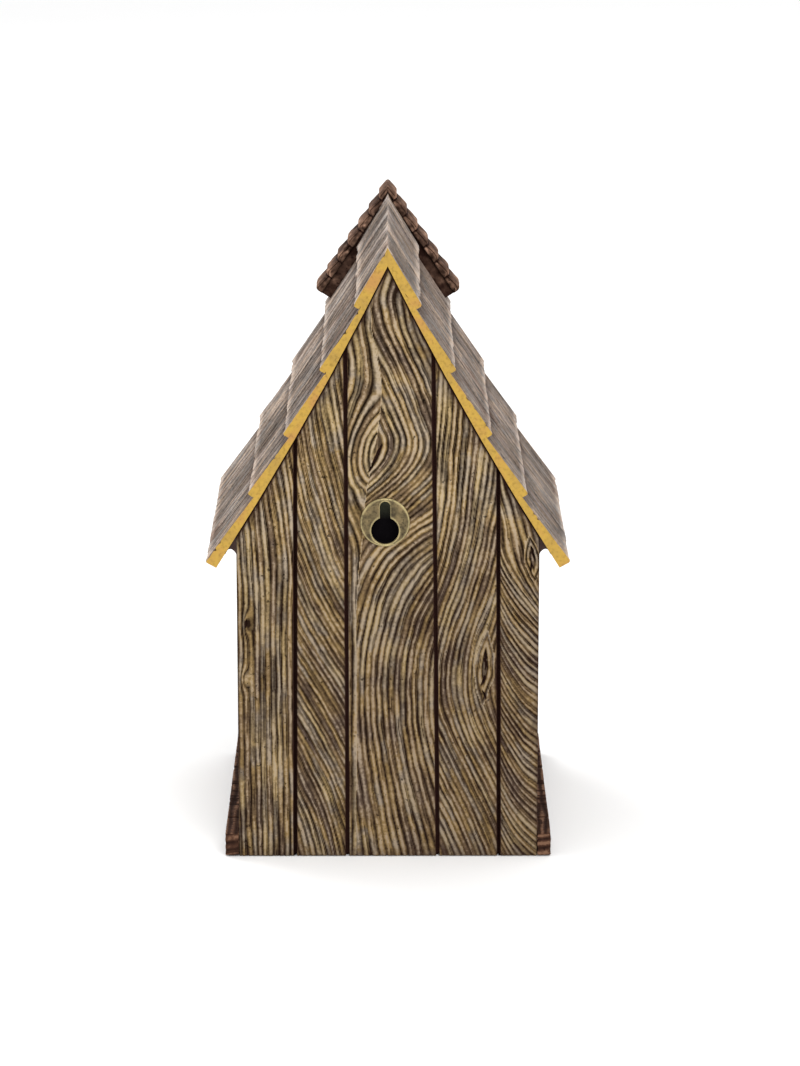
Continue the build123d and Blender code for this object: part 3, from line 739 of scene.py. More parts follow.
def board(node, view, left, right, low_z, top, out, thick, field, seed, pitch, edges=(0, 0), splits=()):
    """An upright board with carved grain. left and right give its edges by height, top its height by place
    across. Each of edges is 1 for an edge at a seam, which is rebated, and 0 for a free corner."""
    across_axis, out_axis = (np.array(axis, float) for axis in VIEWS[view])
    first, last = left(MIDDLE_Z), right(MIDDLE_Z)
    width = last - first
    tallest = max(top(first), top(last), top((first + last) / 2)) - low_z
    us = edged(0.0, 1.0, np.array(SIDE_STEPS) / width, pitch / width)
    vs = edged(0.0, 1.0, np.array(END_STEPS) / tallest, pitch * 1.25 / tallest)
    ws = np.linspace(0.0, 1.0, 2 if all(edges) else 10)
    side_field = plain_grain(seed + 50)

    def place(u, v, w):
        z = low_z + v * (top(first + u * width) - low_z)
        for _ in range(2):
            across = left(z) + u * (right(z) - left(z))
            z = low_z + v * (top(across) - low_z)
        height, tone = carve(field, across, z, seed)
        depth = RELIEF * (1 - height)
        dirt_and_shade = np.zeros(len(u))
        for middle, level, lean, half_wide, half_tall in splits:
            ragged = 0.35 * noise(z / 1.3, 0 * z, seed)
            side = (across - middle - lean * (z - level) - ragged) / half_wide
            inside = smoothstep(1.15 - np.hypot(side, (z - level) / half_tall), 0.0, 0.7)
            depth = depth + SPLIT_DEEP * inside
            height = height * (1 - inside)
            dirt_and_shade = np.maximum(dirt_and_shade, inside)
        for distance, seam in ((across - left(z), edges[0]), (right(z) - across, edges[1])):
            if seam:
                in_seam = distance < SEAM_WIDE
                depth = np.where(in_seam, SEAM_DEEP, np.maximum(depth, rounded(distance, 1.4, 0.9, 0.82)))
                height = np.where(in_seam, 0.0, height)
                dirt_and_shade = np.maximum(dirt_and_shade, close_to(distance, 1.15, 0.45))
            else:
                depth = np.maximum(depth, rounded(distance, 1.1, 1.0))
                dirt_and_shade = np.maximum(dirt_and_shade, 0.5 * close_to(distance, 1.6, 1.6))
        to_top, foot = top(across) - z, z - low_z
        depth = np.maximum(depth, 1.2 * close_to(to_top, 1.2, 0.6))
        depth = np.maximum(depth, 0.5 * close_to(foot, 0.8, 0.8))
        # Painted shade under the roof: a dark line right under its edge and a broader darkening below it.
        painted_eave_shade = 0.85 * close_to(to_top, 3.2, 3.0) + 0.35 * close_to(to_top, 12.0, 12.0)
        dirt_and_shade = np.maximum(np.maximum(dirt_and_shade, painted_eave_shade), 0.35 * close_to(foot, 6.0, 6.0))
        # Painted shade: the walls darken downwards and towards the right as seen from outside, standing in
        # for light that falls off there.
        painted_falloff = 0.19 + 0.13 * smoothstep(across, -30.0, 40.0)
        dirt_and_shade = dirt_and_shade + painted_falloff * smoothstep(SHADE_FALLOFF_Z - z, 0.0, 62.0) * (1 - dirt_and_shade)
        outer = w > 0.99
        towards = np.where(u < 0.5, -1.0, 1.0)
        side_height, side_tone = carve(side_field, towards * w * thick, z, seed + 50)
        level = np.where(outer, out - depth, out - thick * (1 - w))
        free = np.where(u < 0.5, not edges[0], not edges[1])
        at_side = free & ~outer & (w > 0.01) & ((u < 1e-6) | (u > 1 - 1e-6))
        across = across - towards * np.where(at_side, 0.45, 0.0) * (1 - side_height)
        points = across[:, None] * across_axis + level[:, None] * out_axis
        points[:, 2] = z
        channels = ((height, side_height), (tone, side_tone), (dirt_and_shade, 0.15))
        return points, grain_of(*(np.where(outer, face, edge) for face, edge in channels))

    return brick(f"vis_{node}", us, vs, ws, place)


def seam_line(seam, sign):
    """A seam's place across its wall, as seen from outside, by height."""
    low, high = seam
    return lambda z: sign * (low + (high - low) * z / SEAM_TOP_Z)


def fixed(value):
    return lambda z: value + 0 * z


def back_fields():
    """The five grain patterns of the back, from left to right as seen from behind."""
    first = leaning_grain([(-20, 0), (110, 0.0), (145, 0.14), (200, 0.2)],
                          [(-56, 97, 3.0, 1.6, 4.5), (-57, 74, 2.6, 1.4, 4.0)], seed=11, pitch=2.2)
    second = leaning_grain([(0, 0.2), (20, 0.35), (45, 0.52), (80, 0.56), (105, 0.48), (140, 0.3),
                            (165, 0.22), (200, 0.1)], seed=21, pitch=2.1)
    fourth = leaning_grain([(0, 0.36), (30, 0.46), (45, 0.5), (60, 0.32), (73, 0.0), (85, -0.2),
                            (100, -0.36), (120, -0.28), (150, -0.1), (200, -0.05)],
                           [(37.0, 78, 1.6, 3.4, 13.0)], seed=41, pitch=2.2)
    fourth = with_almond(fourth, 38.6, 78.5, 4.0, 16.0, 0.06, 2.0)
    fifth = with_almond(swirl_grain(44.0), 57.2, 123.5, 3.4, 10.0, -0.12, 2.0)
    return [first, second, eye_grain, fourth, fifth]


def gable_wall(view, seams, fields, pitch, seed):
    """The five boards of a gable, from left to right as seen from outside."""
    low, high = box_mm(f"{view}_board_3")
    sign, out_face = (-1, high[1]) if view == "back" else (1, -low[1])
    half = box_mm("back_board_1")[1][0]
    edges = [fixed(-half), *[seam_line(seam, sign) for seam in seams], fixed(half)]
    made = []
    for number, field in enumerate(fields, start=1):
        at_seam = (number > 1, number < len(fields))
        # The CAD numbers both walls' boards from +X, which is on the left from behind.
        node = f"{view}_board_{number if view == 'back' else len(fields) + 1 - number}"
        mesh = board(node, view, edges[number - 1], edges[number], 0.0, under_roof,
                     out_face, high[1] - low[1], field, seed + number, pitch, at_seam,
                     splits=SPLITS.get(node, ()))
        made.append(piece(mesh, [WALL], [node]))
    return made


def side_wall(view, nodes, body, low_z, top, seed):
    """Upright boards of a side wall or the door, from left to right as seen from outside."""
    boxes = [box_mm(node) for node in nodes]
    sign = 1 if view == "right" else -1
    made = []
    for number, (node, (low, high)) in enumerate(zip(nodes, boxes)):
        left, right = sorted((sign * low[1], sign * high[1]))
        at_seam = (number > 0, number < len(nodes) - 1)
        out = max(abs(low[0]), abs(high[0]))
        mesh = board(node, view, fixed(left), fixed(right), low_z, top, out, high[0] - low[0],
                     plain_grain(seed + number), seed + number, COARSE, at_seam)
        made.append(piece(mesh, [WALL], [node], body))
    return made


def rod_tool(start, direction, radius, length, tone):
    """A round cutter with a grain value for the surface that it leaves."""
    direction = np.array(direction, float)
    side = np.array([direction[1], direction[2], direction[0]])
    up = np.cross(direction, side)
    angles = round_angles(48)[:, None]
    ring = radius * (np.cos(angles) * side + np.sin(angles) * up)
    rows = np.array([np.array(start) + ring, np.array(start) + direction * length + ring])
    return sweep("rod_tool", rows, np.full(rows.shape, tone), closed=False, capped=True)


def keyhole_radius(angle, round_r, top_r, top):
    """Distance from a keyhole's round centre to its edge. Angle 0 is straight up, where it reaches top."""
    turned = np.abs((angle + pi) % (2 * pi) - pi)
    end = top - top_r
    side = np.where(turned < pi / 2, top_r / np.maximum(np.sin(turned), 1e-6), 0.0)
    inside = np.maximum(top_r**2 - (end * np.sin(turned)) ** 2, 0.0)
    cap = np.where(turned < pi / 2, end * np.cos(turned) + np.sqrt(inside), 0.0)
    slot = np.where(side * np.cos(turned) > end, cap, side)
    return np.maximum(round_r, np.where(np.isfinite(slot), slot, 0.0))


def back_pieces():
    boards = gable_wall("back", BACK_SEAMS, back_fields(), FINE, 100)
    plate_low, plate_high = box_mm("hanger_plate")
    centre_x = (plate_low[0] + plate_high[0]) / 2
    disc_z = (plate_low[2] + plate_high[2]) / 2
    # The seat's cut walls take the dark grain value 0.2: a painted shadow ring round the disc.
    seat = rod_tool((centre_x, plate_low[1], disc_z), (0, 1, 0), (plate_high[0] - plate_low[0]) / 2,
                    5.0, 0.2)
    angles = round_angles(96)
    top = HANGER_SLOT_TOP_Z - HANGER_SLOT / 2 + POCKET_TOP_R - HANGER_HOLE_Z
    reach = keyhole_radius(angles, POCKET_R, POCKET_TOP_R, top)
    xs, zs = centre_x + reach * np.sin(angles), HANGER_HOLE_Z + reach * np.cos(angles)
    ring = np.stack([xs, 0 * angles, zs], axis=1)
    rows = np.array([ring + [0, y, 0] for y in (POCKET_Y, plate_low[1] + 0.02)])
    pocket = sweep("pocket_tool", rows, np.full(rows.shape, 0.12), closed=False, capped=True, paint=1)
    boards[2].data.materials.append(POCKET)
    cut(boards[2], [seat, pocket])


def front_pieces():
    boards = gable_wall("front", FRONT_SEAMS[::-1], [plain_grain(200 + n) for n in range(5)], COARSE, 200)
    ring_low, ring_high = box_mm("entrance_ring")
    perch_low, perch_high = box_mm("perch")
    hole_z = (ring_low[2] + ring_high[2]) / 2
    hole = rod_tool((0, ring_low[1], hole_z), (0, 1, 0), ENTRANCE_R, 20.0, 0.55)
    socket = rod_tool((0, perch_low[1], (perch_low[2] + perch_high[2]) / 2), (0, 1, 0),
                      (perch_high[0] - perch_low[0]) / 2, perch_high[1] - perch_low[1], 0.3)
    cut(boards[2], [hole, socket])


def side_pieces():
    door_nodes = [f"door_board_{n}" for n in (1, 2, 3)]
    door_low, door_high = box_mm(door_nodes[0])
    door = side_wall("right", door_nodes, "door", door_low[2], fixed(door_high[2]), 300)
    pins_low, pins_high = box_mm("door_pivot_pins")
    pin_x = (pins_low[0] + pins_high[0]) / 2
    pin_z = (pins_low[2] + pins_high[2]) / 2
    running_r = (pins_high[2] - pins_low[2]) / 2 + 0.05
    for board_piece, start, direction in ((door[0], pins_low[1], 1), (door[2], pins_high[1], -1)):
        cut(board_piece, [rod_tool((pin_x, start, pin_z), (0, direction, 0), running_r, 14.0, 0.2)])
    left_nodes = [f"left_board_{n}" for n in (3, 2, 1)]
    top = fixed(under_roof(SIDE_OUT, DECK_THICK))
    side_wall("left", left_nodes, "house", box_mm(left_nodes[0])[0][2], top, 400)


# ---------------------------------------------------------------- timber

def timber(node, long_axis, material, slot, body="house", pitch=2.6, radius=0.7, relief=0.35,
           spacing=1.2, seed=1, top=None, joints=None):
    """A squared length of wood with eased edges and grain along long_axis. top shapes its upper end by
    place across the house, and joints gives the depth of cuts across it."""
    low, high = box_mm(node)
    ease = np.array([0.0, 0.15, 0.4, 0.7, 1.0]) * radius
    grids = [edged(low[axis], high[axis], ease, spacing * (2.2 if axis == long_axis else 1.0))
             for axis in range(3)]
    first, second = (axis for axis in range(3) if axis != long_axis)

    def place(u, v, w):
        points = np.stack([u, v, w], axis=1)
        core = np.clip(points, low + radius, high - radius)
        away = points - core
        direction = away / np.linalg.norm(away, axis=1)[:, None]
        run = points[:, long_axis]
        end_grain = (run < low[long_axis] + 0.3 * radius) | (run > high[long_axis] - 0.3 * radius)
        girth = points[:, second] + np.where(end_grain, 0.15, 1.0) * points[:, first]
        lines = girth / pitch + wander(girth, run, seed)
        height, tone = plain_carve(pitch, girth, run, seed)
        depth = relief * (1 - height)
        dirt_and_shade = 0.35 * smoothstep(noise(run / 9, lines / 3, seed + 9), 0.2, 0.9)
        if joints is not None:
            gap = joints(points)
            depth = np.maximum(depth, gap)
            height = np.where(gap > 0.3, 0.0, height)
        points = core + direction * (radius - depth)[:, None]
        if top is not None:
            share = (points[:, 2] - low[2]) / (high[2] - low[2])
            points[:, 2] = low[2] + share * (top(np.abs(points[:, 0])) - low[2])
        return points, grain_of(height, tone, dirt_and_shade)

    return piece(brick(f"vis_{node}", *grids, place, flat=()), [material], [node], body)


def under_deck_at(x):
    return under_roof(x, DECK_THICK)


def frame_timbers():
    rough = {"relief": 0.6, "spacing": 0.6, "top": under_deck_at}
    for number, corner in enumerate(("front_left", "back_left", "front_right", "back_right")):
        timber(f"corner_post_{corner}", 2, WALL, "wall_wood", seed=500 + number, **rough)
    timber("door_header", 1, WALL, "wall_wood", seed=510, **rough)
    for number, node in enumerate(("door_batten_lower", "door_batten_upper")):
        timber(node, 1, INNER, "inner_wood", "door", seed=520 + number)
    panel = timber("floor_panel", 1, INNER, "inner_wood", seed=530)
    low, high = box_mm("floor_panel")
    header_low, header_high = box_mm("door_header")
    step = box_tool((header_low[0] - DOOR_STOP_GAP, header_low[1], DOOR_STOP_Z),
                    (high[0] + 1, header_high[1], high[2] + 1))
    middle = (low + high) / 2
    drains = [rod_tool((x, middle[1] + y, low[2] - 1), (0, 0, 1), DRAIN_R, high[2] - low[2] + 2, 0.3)
              for x in (-DRAIN_X, DRAIN_X) for y in (-DRAIN_Y, DRAIN_Y)]
    cut(panel, [step, *drains])


def box_tool(low, high):
    corners = [(low[0], low[1]), (high[0], low[1]), (high[0], high[1]), (low[0], high[1])]
    rows = np.array([[(x, y, z) for x, y in corners] for z in (low[2], high[2])], float)
    return sweep("box_tool", rows, np.full(rows.shape, 0.4), closed=False, capped=True)


def plinth_joints(axis, start, pitch, width, depth):
    """Depth of the scored joints between blocks, and of the finer cuts across each block."""
    def gap(points):
        run = (points[:, axis] - start) / pitch
        joint = np.abs(run - np.round(run)) * pitch
        inside = (np.round(run) > 0.5) & (np.round(run) < PLINTH_BLOCKS - 0.5)
        block = depth * smoothstep(width - joint, 0.0, width * 0.6) * inside
        lines = (points[:, axis] + 0.5 * noise(points[:, 2] / 3, points[:, axis] / 8, 7)) / 3.4
        near = np.abs(lines - np.round(lines)) * 3.4
        cuts = (0.2 + 0.25 * random_at(np.round(lines), 0, 77)) * close_to(near, 0.45, 0.4)
        return np.maximum(block, cuts)
    return gap


def plinth():
    for number, node in enumerate(("plinth_left", "plinth_right", "plinth_front")):
        low, high = box_mm(node)
        axis = 0 if node == "plinth_front" else 1
        block = (high[axis] - low[axis]) / PLINTH_BLOCKS
        timber(node, axis, PLINTH, "plinth_block", pitch=3.2, radius=0.8, spacing=0.5, seed=540 + number,
               joints=plinth_joints(axis, low[axis], block, 0.8, 0.9))


# ---------------------------------------------------------------- roof

def weathered(across, along, seed, layers):
    """Split and weathered wood: layers of (pitch, groove width, depth), widest first."""
    depth = np.zeros(len(across))
    tone = np.zeros(len(across))
    for number, (pitch, width, deep) in enumerate(layers):
        drift = 0.55 * noise(across / (pitch * 4), along / 60, seed + number * 7)
        phi = across / pitch + drift + 0.10 * noise(across / pitch, along / 14, seed + number * 7 + 1)
        ridge = np.floor(phi)
        part = phi - ridge
        near = np.where(part < 0.5, ridge, ridge + 1)
        distance = np.minimum(part, 1 - part) * pitch
        breaks = 0.35 + 0.65 * smoothstep(line_noise(near, along / 22, seed + number * 7 + 2), 0.15, 0.5)
        groove = deep * breaks * (1 - smoothstep(distance, 0.5 * width, width))
        raised = 0.25 * deep * line_noise(ridge, along / 50, seed + number * 7 + 3)
        depth = np.maximum(depth, groove) + raised
        tone = tone + line_noise(ridge, along / 35, seed + number * 7 + 4) / len(layers)
    return depth, tone


def line_through(points):
    """Functions of distance along for the x and z of a line through (along, (x, z)) points."""
    along = [a for a, _ in points]
    xs = [p[0] for _, p in points]
    zs = [p[1] for _, p in points]
    return lambda a: np.stack([np.interp(a, along, xs), np.interp(a, along, zs)], axis=1)


def between(low, high, share):
    return low + share[:, None] * (high - low)


def on_slope(side, y, line):
    """Points from the (x, z) of a right-hand slope, mirrored for the left one and kept off the other side."""
    return np.stack([side * np.maximum(line[:, 0], 0.0), y, line[:, 1]], axis=1)


STEP = 0.02                 # two mesh lines this close make a sharp step
ROOF_LAYERS = {             # the two slopes are weathered differently
    1: [(9.8, 1.0, 1.1), (4.9, 0.7, 0.55), (2.4, 0.6, 0.26)],
    -1: [(21.0, 1.0, 0.55), (7.0, 0.8, 0.42), (3.3, 0.7, 0.24)],
}


def course_lines(number):
    """Where a course starts and ends down the slope, its upper and lower outlines, and the latter's knots."""
    start, end = [0.0, *course_ends()][number:number + 2]
    if number:
        head = start - COURSE_LAP
        top = [(head, roof_point(head, COURSE_HEAD)), (start, roof_point(start, COURSE_START))]
        under = [(head, roof_point(head, 0.0)), (start, roof_point(start, 0.0))]
    else:
        top = [(0.0, (0.0, ROOF_RIDGE_Z))]
        under = [(0.0, (0.0, ROOF_APEX_Z))]
    top.append((end, roof_point(end, COURSE_BUTT)))
    if number == LAST_COURSE:
        under.append((end, roof_point(end, 0.0)))
    else:
        lap = end - COURSE_LAP
        under += [(lap - STEP, roof_point(lap - STEP, 0.0)), (lap, roof_point(lap, COURSE_HEAD)),
                  (end, roof_point(end, COURSE_START))]
    return start, end, line_through(top), line_through(under), [along for along, _ in under]


def roof_course(side, number):
    """One shingle course, with split boards on top, a chipped butt and painted ends."""
    name = f"roof_course_{SIDES[side]}_{number + 1}"
    low, high = box_mm(name)
    start, end, top_line, under_line, knots = course_lines(number)
    parts = [spaced(a, b, 0.9)[:-1] for a, b in zip(knots, knots[1:]) if b - a > 0.5]
    butt = np.round(end - np.array([1.6, 1.1, 0.7, 0.4, 0.15, 0.0]), 3)
    us = np.unique(np.round(np.concatenate([*parts, knots, butt]), 3))
    us = us[(us <= end - 1.6) | np.isin(us, butt)]
    vs = edged(low[1], high[1], (0.0, 0.2, 0.5, 0.9, 1.4), 0.55)
    ws = np.array([0.0, 0.12, 0.3, 0.5, 0.7, 0.85, 0.95, 1.0])
    seed = 600 + number * 20 + (10 if side > 0 else 0)
    # The left slope's crests are set lower (0.80 against 0.92): painted shade that evens out the key light
    # falling more on that slope.
    wood_seed, crest = (640, 0.92) if side > 0 else (650, 0.80)
    ragged = 0.6 if number == LAST_COURSE else 1.0

    def place(u, v, w):
        drift = -13.0 * np.exp(-u / 10.0) * (side > 0)
        depth, tone = weathered(v + drift, u, wood_seed, ROOF_LAYERS[side])
        from_end = np.minimum(v - low[1], high[1] - v)
        depth = depth * (0.3 + 0.7 * smoothstep(from_end, 0.9, 3.0))
        jag = 1.1 * line_noise(np.floor((v + drift) / 9.6), u * 0, seed)
        jag = (jag + 0.35 * np.abs(noise(v / 2.2, u * 0, seed + 1))) * smoothstep(from_end, 1.0, 3.0)
        moved = u - jag * smoothstep(u, end - 7.0, end) * ragged
        to_butt = end - u
        chip = smoothstep(noise(u / 1.3, from_end * 0 + (v > 0), seed + 2), 0.55, 1.0)
        end_drop = (0.12 + 0.45 * chip) * close_to(from_end, 1.3, 1.1)
        depth = np.where(u < start - 0.3, 0.0, np.maximum(depth, rounded(to_butt, 1.4, 0.9)) + end_drop)
        line = between(under_line(moved), top_line(moved) - depth[:, None] * ROOF_NORMAL, w)
        push = 0.22 * (0.5 + 0.5 * noise(u / 3.5, w * 2.4, seed + 4)) + 0.35 * chip * smoothstep(w, 0.7, 1.0)
        y = v - np.where(from_end < 0.01, push, 0.0) * np.sign(v)
        points = on_slope(side, y, line)
        worn = 0.25 * smoothstep(u, end - 5.0, end - 1.0) + (0.0 if number else 0.3 * np.exp(-u / 1.5))
        height = np.where(w > 0.99, crest - depth / 0.85 + worn, 0.45)
        height = np.where(to_butt < 0.05, 0.55, height)
        # Painted shade on each course's top, just below the butt of the course above.
        painted_butt_shade = 0.38 * close_to(u - start, 9.0, 5.0) * (number > 0)
        nick = 0.8 * chip * smoothstep(w, 0.75, 0.97)
        return points, grain_of(height, tone, np.where(from_end < 0.3, nick, painted_butt_shade))

    mesh = brick(f"vis_{name}", us, vs, ws, place, flat=(), ruled=("w0",), paint={"v0": 1, "v1": 1})
    piece(mesh, [ROOF, GOLD], [name])


def roof_deck(side):
    """The deck board under the shingles, and the hollowed filler under the eave."""
    node = f"roof_deck_{SIDES[side]}"
    low, high = box_mm(node)
    eave_z = low[2]
    wall = box_mm("back_board_1")[1][0]
    header_low, header_high = box_mm("door_header")
    knots = np.array([0.0, *course_ends()])
    top_line = line_through([(k, roof_point(k, 0.0)) for k in knots])
    under_line = line_through([(k, roof_point(k, -DECK_THICK)) for k in knots])
    xs, zs = top_line(knots).T
    stop = np.interp(wall, xs, knots)
    reach = np.interp(eave_z, zs[::-1], knots[::-1])
    eave_x = top_line(np.array([reach]))[0, 0]
    clear = 0.02 * ROOF_NORMAL

    def place_deck(u, v, w):
        line = between(under_line(u), top_line(u) - clear, w)
        height, tone = plain_carve(3.0, v, u, 661)
        line = line - (0.4 * (1 - height) * (w - 0.5))[:, None] * ROOF_NORMAL
        return on_slope(side, v, line), grain_of(height, tone, 0.2)

    def place_eave(u, v, w):
        top = top_line(stop + u * (reach - stop))
        cove = 2.2 * np.sin(pi * np.clip(u, 0, 1)) ** 0.8
        z_under = eave_z + np.minimum(cove, np.maximum(top[:, 1] - eave_z - 0.4, 0))
        line = between(np.stack([wall + u * (eave_x - wall), z_under], axis=1), top - clear, w)
        rough = 0.3 * noise(v / 2.5, u * 4, 671) * (1 - w)
        points = np.stack([side * line[:, 0], v, line[:, 1] + rough], axis=1)
        height = 0.55 + 0.35 * noise(v / 2.0, u * 6 + w * 3, 673)
        return points, grain_of(height, 0.5 + 0.5 * noise(v / 8, u * 3, 672), 0.3)

    vs = spaced(header_low[1] - POST, header_high[1] + POST, 1.0)
    deck = brick(f"vis_{node}", spaced(0.0, stop, 2.5), vs, np.array([0.0, 0.5, 1.0]), place_deck, flat=())
    piece(deck, [DECK], [node])
    eave = brick(f"vis_eave_{SIDES[side]}", spaced(0.0, 1.0, 0.08), spaced(low[1], high[1], 1.0),
                 np.array([0.0, 0.35, 0.7, 1.0]), place_eave, flat=())
    piece(eave, [DECK], [node])


def hood_point(along, below):
    """(x, z) down the hood's slope and below its outer plane."""
    x = along * cos(HOOD_ANGLE) - below * sin(HOOD_ANGLE)
    return x, HOOD_APEX_Z - along * sin(HOOD_ANGLE) - below * cos(HOOD_ANGLE)


def hood_lump(name, side, start, end, node, seed, both=False):
    """One rounded shingle of the hood. With both, it is the ridge cap over the two slopes."""
    low, high = box_mm(node)
    middle = (low[1] + high[1]) / 2
    length = end - start
    vs = edged(low[1], high[1], (0.0, 0.12, 0.35, 0.7, 1.1, 1.5), 0.45)
    butt = end - length * np.array([0.2, 0.15, 0.1, 0.06, 0.03, 0.01, 0.0])
    us = np.unique(np.concatenate([start + length * spaced(0, 0.75, 0.06), butt]))
    if both:
        us = np.concatenate([-us[::-1], us[us > 0.001]])
    ws = np.array([0.0, 0.2, 0.45, 0.7, 0.88, 1.0])

    def place(u, v, w):
        along = np.abs(u)
        t = (along - start) / length
        swell = 0.5 * (1 - t) ** 1.5 if both else (HOOD_BUTT - HOOD_START) * (1 - t) ** 1.6
        from_end = np.minimum(v - low[1], high[1] - v)
        broad = 0.22 * (1 + noise(v / 3.6, along / 2.6, seed)) / 2
        lumps = broad + 0.15 * (1 + noise(v / 1.4, along / 1.3, seed + 1)) / 2
        below_top = swell + rounded(1 - t, 0.2, 1.1) + rounded(from_end, 1.5, 1.0) + lumps
        under = HOOD_BUTT
        if both:
            below_top = below_top + 0.9 * np.exp(-(along / 1.6) ** 2)
        else:
            under = HOOD_BUTT + HOOD_LUMP
        below = under - w * (under - np.minimum(below_top, HOOD_BUTT - 0.25))
        x, z = hood_point(along, below)
        if both:
            ridge_z = HOOD_APEX_Z - below / cos(HOOD_ANGLE)
            x = np.where(along < 1e-6, 0.0, np.maximum(x, 0.02 * along))
            z = np.where(along < 1e-6, ridge_z, z)
            z = np.minimum(z, ridge_z - x * 0.2)
        pull = 0.35 * (0.5 + 0.5 * noise(along / 1.8, w * 2.5, seed + 2))
        pull = (pull + 0.5 * smoothstep(np.abs(w - 0.5) * 2, 0.55, 1.0)) * (from_end < 0.01)
        sign = np.where(u < 0, -1, 1) if both else side
        points = np.stack([sign * x, v - pull * np.sign(v - middle), z], axis=1)
        crest = 1.0 - 0.55 * (lumps / 0.37) - 0.35 * swell
        height = np.where(w > 0.8, crest, 0.55 + 0.35 * noise(along / 1.5, w * 3, seed + 3))
        height = height - 0.5 * (t < 0.08) - 0.35 * (w < 0.1)
        tone = 0.5 + 0.5 * noise(v / 5, along / 4, seed + 4)
        return points, grain_of(height, tone, 0.5 * close_to(t, 0.15, 0.15))

    mesh = brick(name, us, vs, ws, place, flat=())
    piece(mesh, [HOOD], [node])


def hood_deck(side):
    """The dark wedge under one slope of the hood, bedded into the first two courses of the roof."""
    node = f"hood_deck_{SIDES[side]}"
    low, high = box_mm(node)
    middle = (low[1] + high[1]) / 2
    roof_end = box_mm("roof_course_left_1")[0][1]
    butt = roof_point(COURSE_LENGTHS[0], COURSE_BUTT)
    head = roof_point(COURSE_LENGTHS[0], COURSE_START)
    foot = roof_point(COURSE_LENGTHS[0] + COURSE_LENGTHS[1], COURSE_BUTT)
    butt_at, head_at, foot_at = (x * cos(HOOD_ANGLE) + (HOOD_APEX_Z - z) * sin(HOOD_ANGLE)
                                 for x, z in (butt, head, foot))
    share = (HOOD_LENGTH - head_at) / (foot_at - head_at)
    seat = (head[0] + share * (foot[0] - head[0]), head[1] + share * (foot[1] - head[1]))
    top_line = line_through([(0.0, (0.0, HOOD_APEX_Z - HOOD_BUTT / cos(HOOD_ANGLE))),
                             (HOOD_LENGTH, hood_point(HOOD_LENGTH, HOOD_BUTT))])
    under_line = line_through([(0.0, (0.0, ROOF_RIDGE_Z)), (butt_at, butt), (butt_at + 0.4, head),
                               (HOOD_LENGTH, seat)])

    def place(u, v, w):
        sunk = HOOD_SINK * smoothstep(v - roof_end, 0.3, 1.0)
        line = between(under_line(u) - sunk[:, None] * ROOF_NORMAL, top_line(u), w)
        at_end = np.minimum(v - low[1], high[1] - v) < 0.01
        y = v - 0.35 * (1 + noise(u / 2.2, w * 2, 681)) * at_end * np.sign(v - middle)
        points = on_slope(side, y, line)
        height = 0.45 + 0.35 * noise(u / 2.0, v / 2 + w * 2, 682)
        return points, grain_of(height, 0.4 + 0.4 * noise(u / 6, v / 4, 683), 0.45)

    us = np.unique([*spaced(0.0, HOOD_LENGTH, 0.8), butt_at, butt_at + 0.4])
    mesh = brick(f"vis_{node}", us, spaced(low[1], high[1], 1.2), np.linspace(0, 1, 6), place, flat=())
    piece(mesh, [HOOD], [node])


def roof():
    step = HOOD_LENGTH / HOOD_COURSES
    for side, name in SIDES.items():
        for number in range(len(COURSE_LENGTHS)):
            roof_course(side, number)
        roof_deck(side)
        hood_deck(side)
        for number in range(1, HOOD_COURSES):
            node = f"hood_course_{name}_{number}"
            seed = 700 + number * 5 + 50 * (side > 0)
            hood_lump(f"vis_{node}", side, number * step, (number + 1) * step, node, seed)
    hood_lump("vis_hood_ridge_cap", 1, 0.0, step, "hood_ridge_cap", 790, both=True)


# ---------------------------------------------------------------- turned and flat small parts

def washer(name, centre, across, up, inner, outer, thick, bevel, rough, seed):
    """A flat plate round a hole. inner and outer give its edges by angle from up; centre is on its outer
    face, and its thickness goes the way that across x up does not point."""
    across = np.array(across, float)
    up = np.array(up, float)
    angles = round_angles(256)
    near, far = inner(angles), outer(angles)
    wide = np.minimum(bevel, 0.35 * (far - near))
    rows, grains = [], []
    for share in (0.0, 0.02, 0.06, 0.15, 0.3, 0.5, 0.7, 0.85, 0.94, 0.98, 1.0):
        radius = near + share * (far - near)
        edge = np.minimum(radius - near, far - radius)
        lump = rough * (1 + noise(radius * np.cos(angles) / 2.2, radius * np.sin(angles) / 2.2, seed)) / 2
        rows.append((radius, rounded(edge, wide, bevel * 0.7) + lump * (edge > 0.05)))
        grains.append(grain_of(smoothstep(bevel * 1.6 - edge, 0.0, bevel * 1.4), 0.5, 0.0))
    for share in (1.0, 0.5, 0.0):
        rows.append((near + share * (far - near), 0 * angles + thick))
        grains.append(np.zeros((len(angles), 3)))
    sideways, upwards = np.sin(angles)[:, None] * across, np.cos(angles)[:, None] * up
    grid = np.array([np.array(centre) + radius[:, None] * (sideways + upwards)
                     - deep[:, None] * np.cross(across, up) for radius, deep in rows])
    return sweep(name, grid, np.array(grains), closed=True)


def hanger():
    low, high = box_mm("hanger_plate")
    centre_x = (low[0] + high[0]) / 2
    disc_z = (low[2] + high[2]) / 2
    disc_r = (high[2] - low[2]) / 2
    rise = disc_z - HANGER_HOLE_Z

    def inner(angle):
        return keyhole_radius(angle, HANGER_HOLE_R, HANGER_SLOT / 2, HANGER_SLOT_TOP_Z - HANGER_HOLE_Z)

    def outer(angle):
        return rise * np.cos(angle) + np.sqrt(disc_r**2 - (rise * np.sin(angle)) ** 2)

    mesh = washer("vis_hanger_plate", (centre_x, high[1], HANGER_HOLE_Z), (-1, 0, 0), (0, 0, 1), inner, outer,
                  high[1] - low[1], 0.5, 0.12, 801)
    piece(mesh, [BRONZE], ["hanger_plate"])


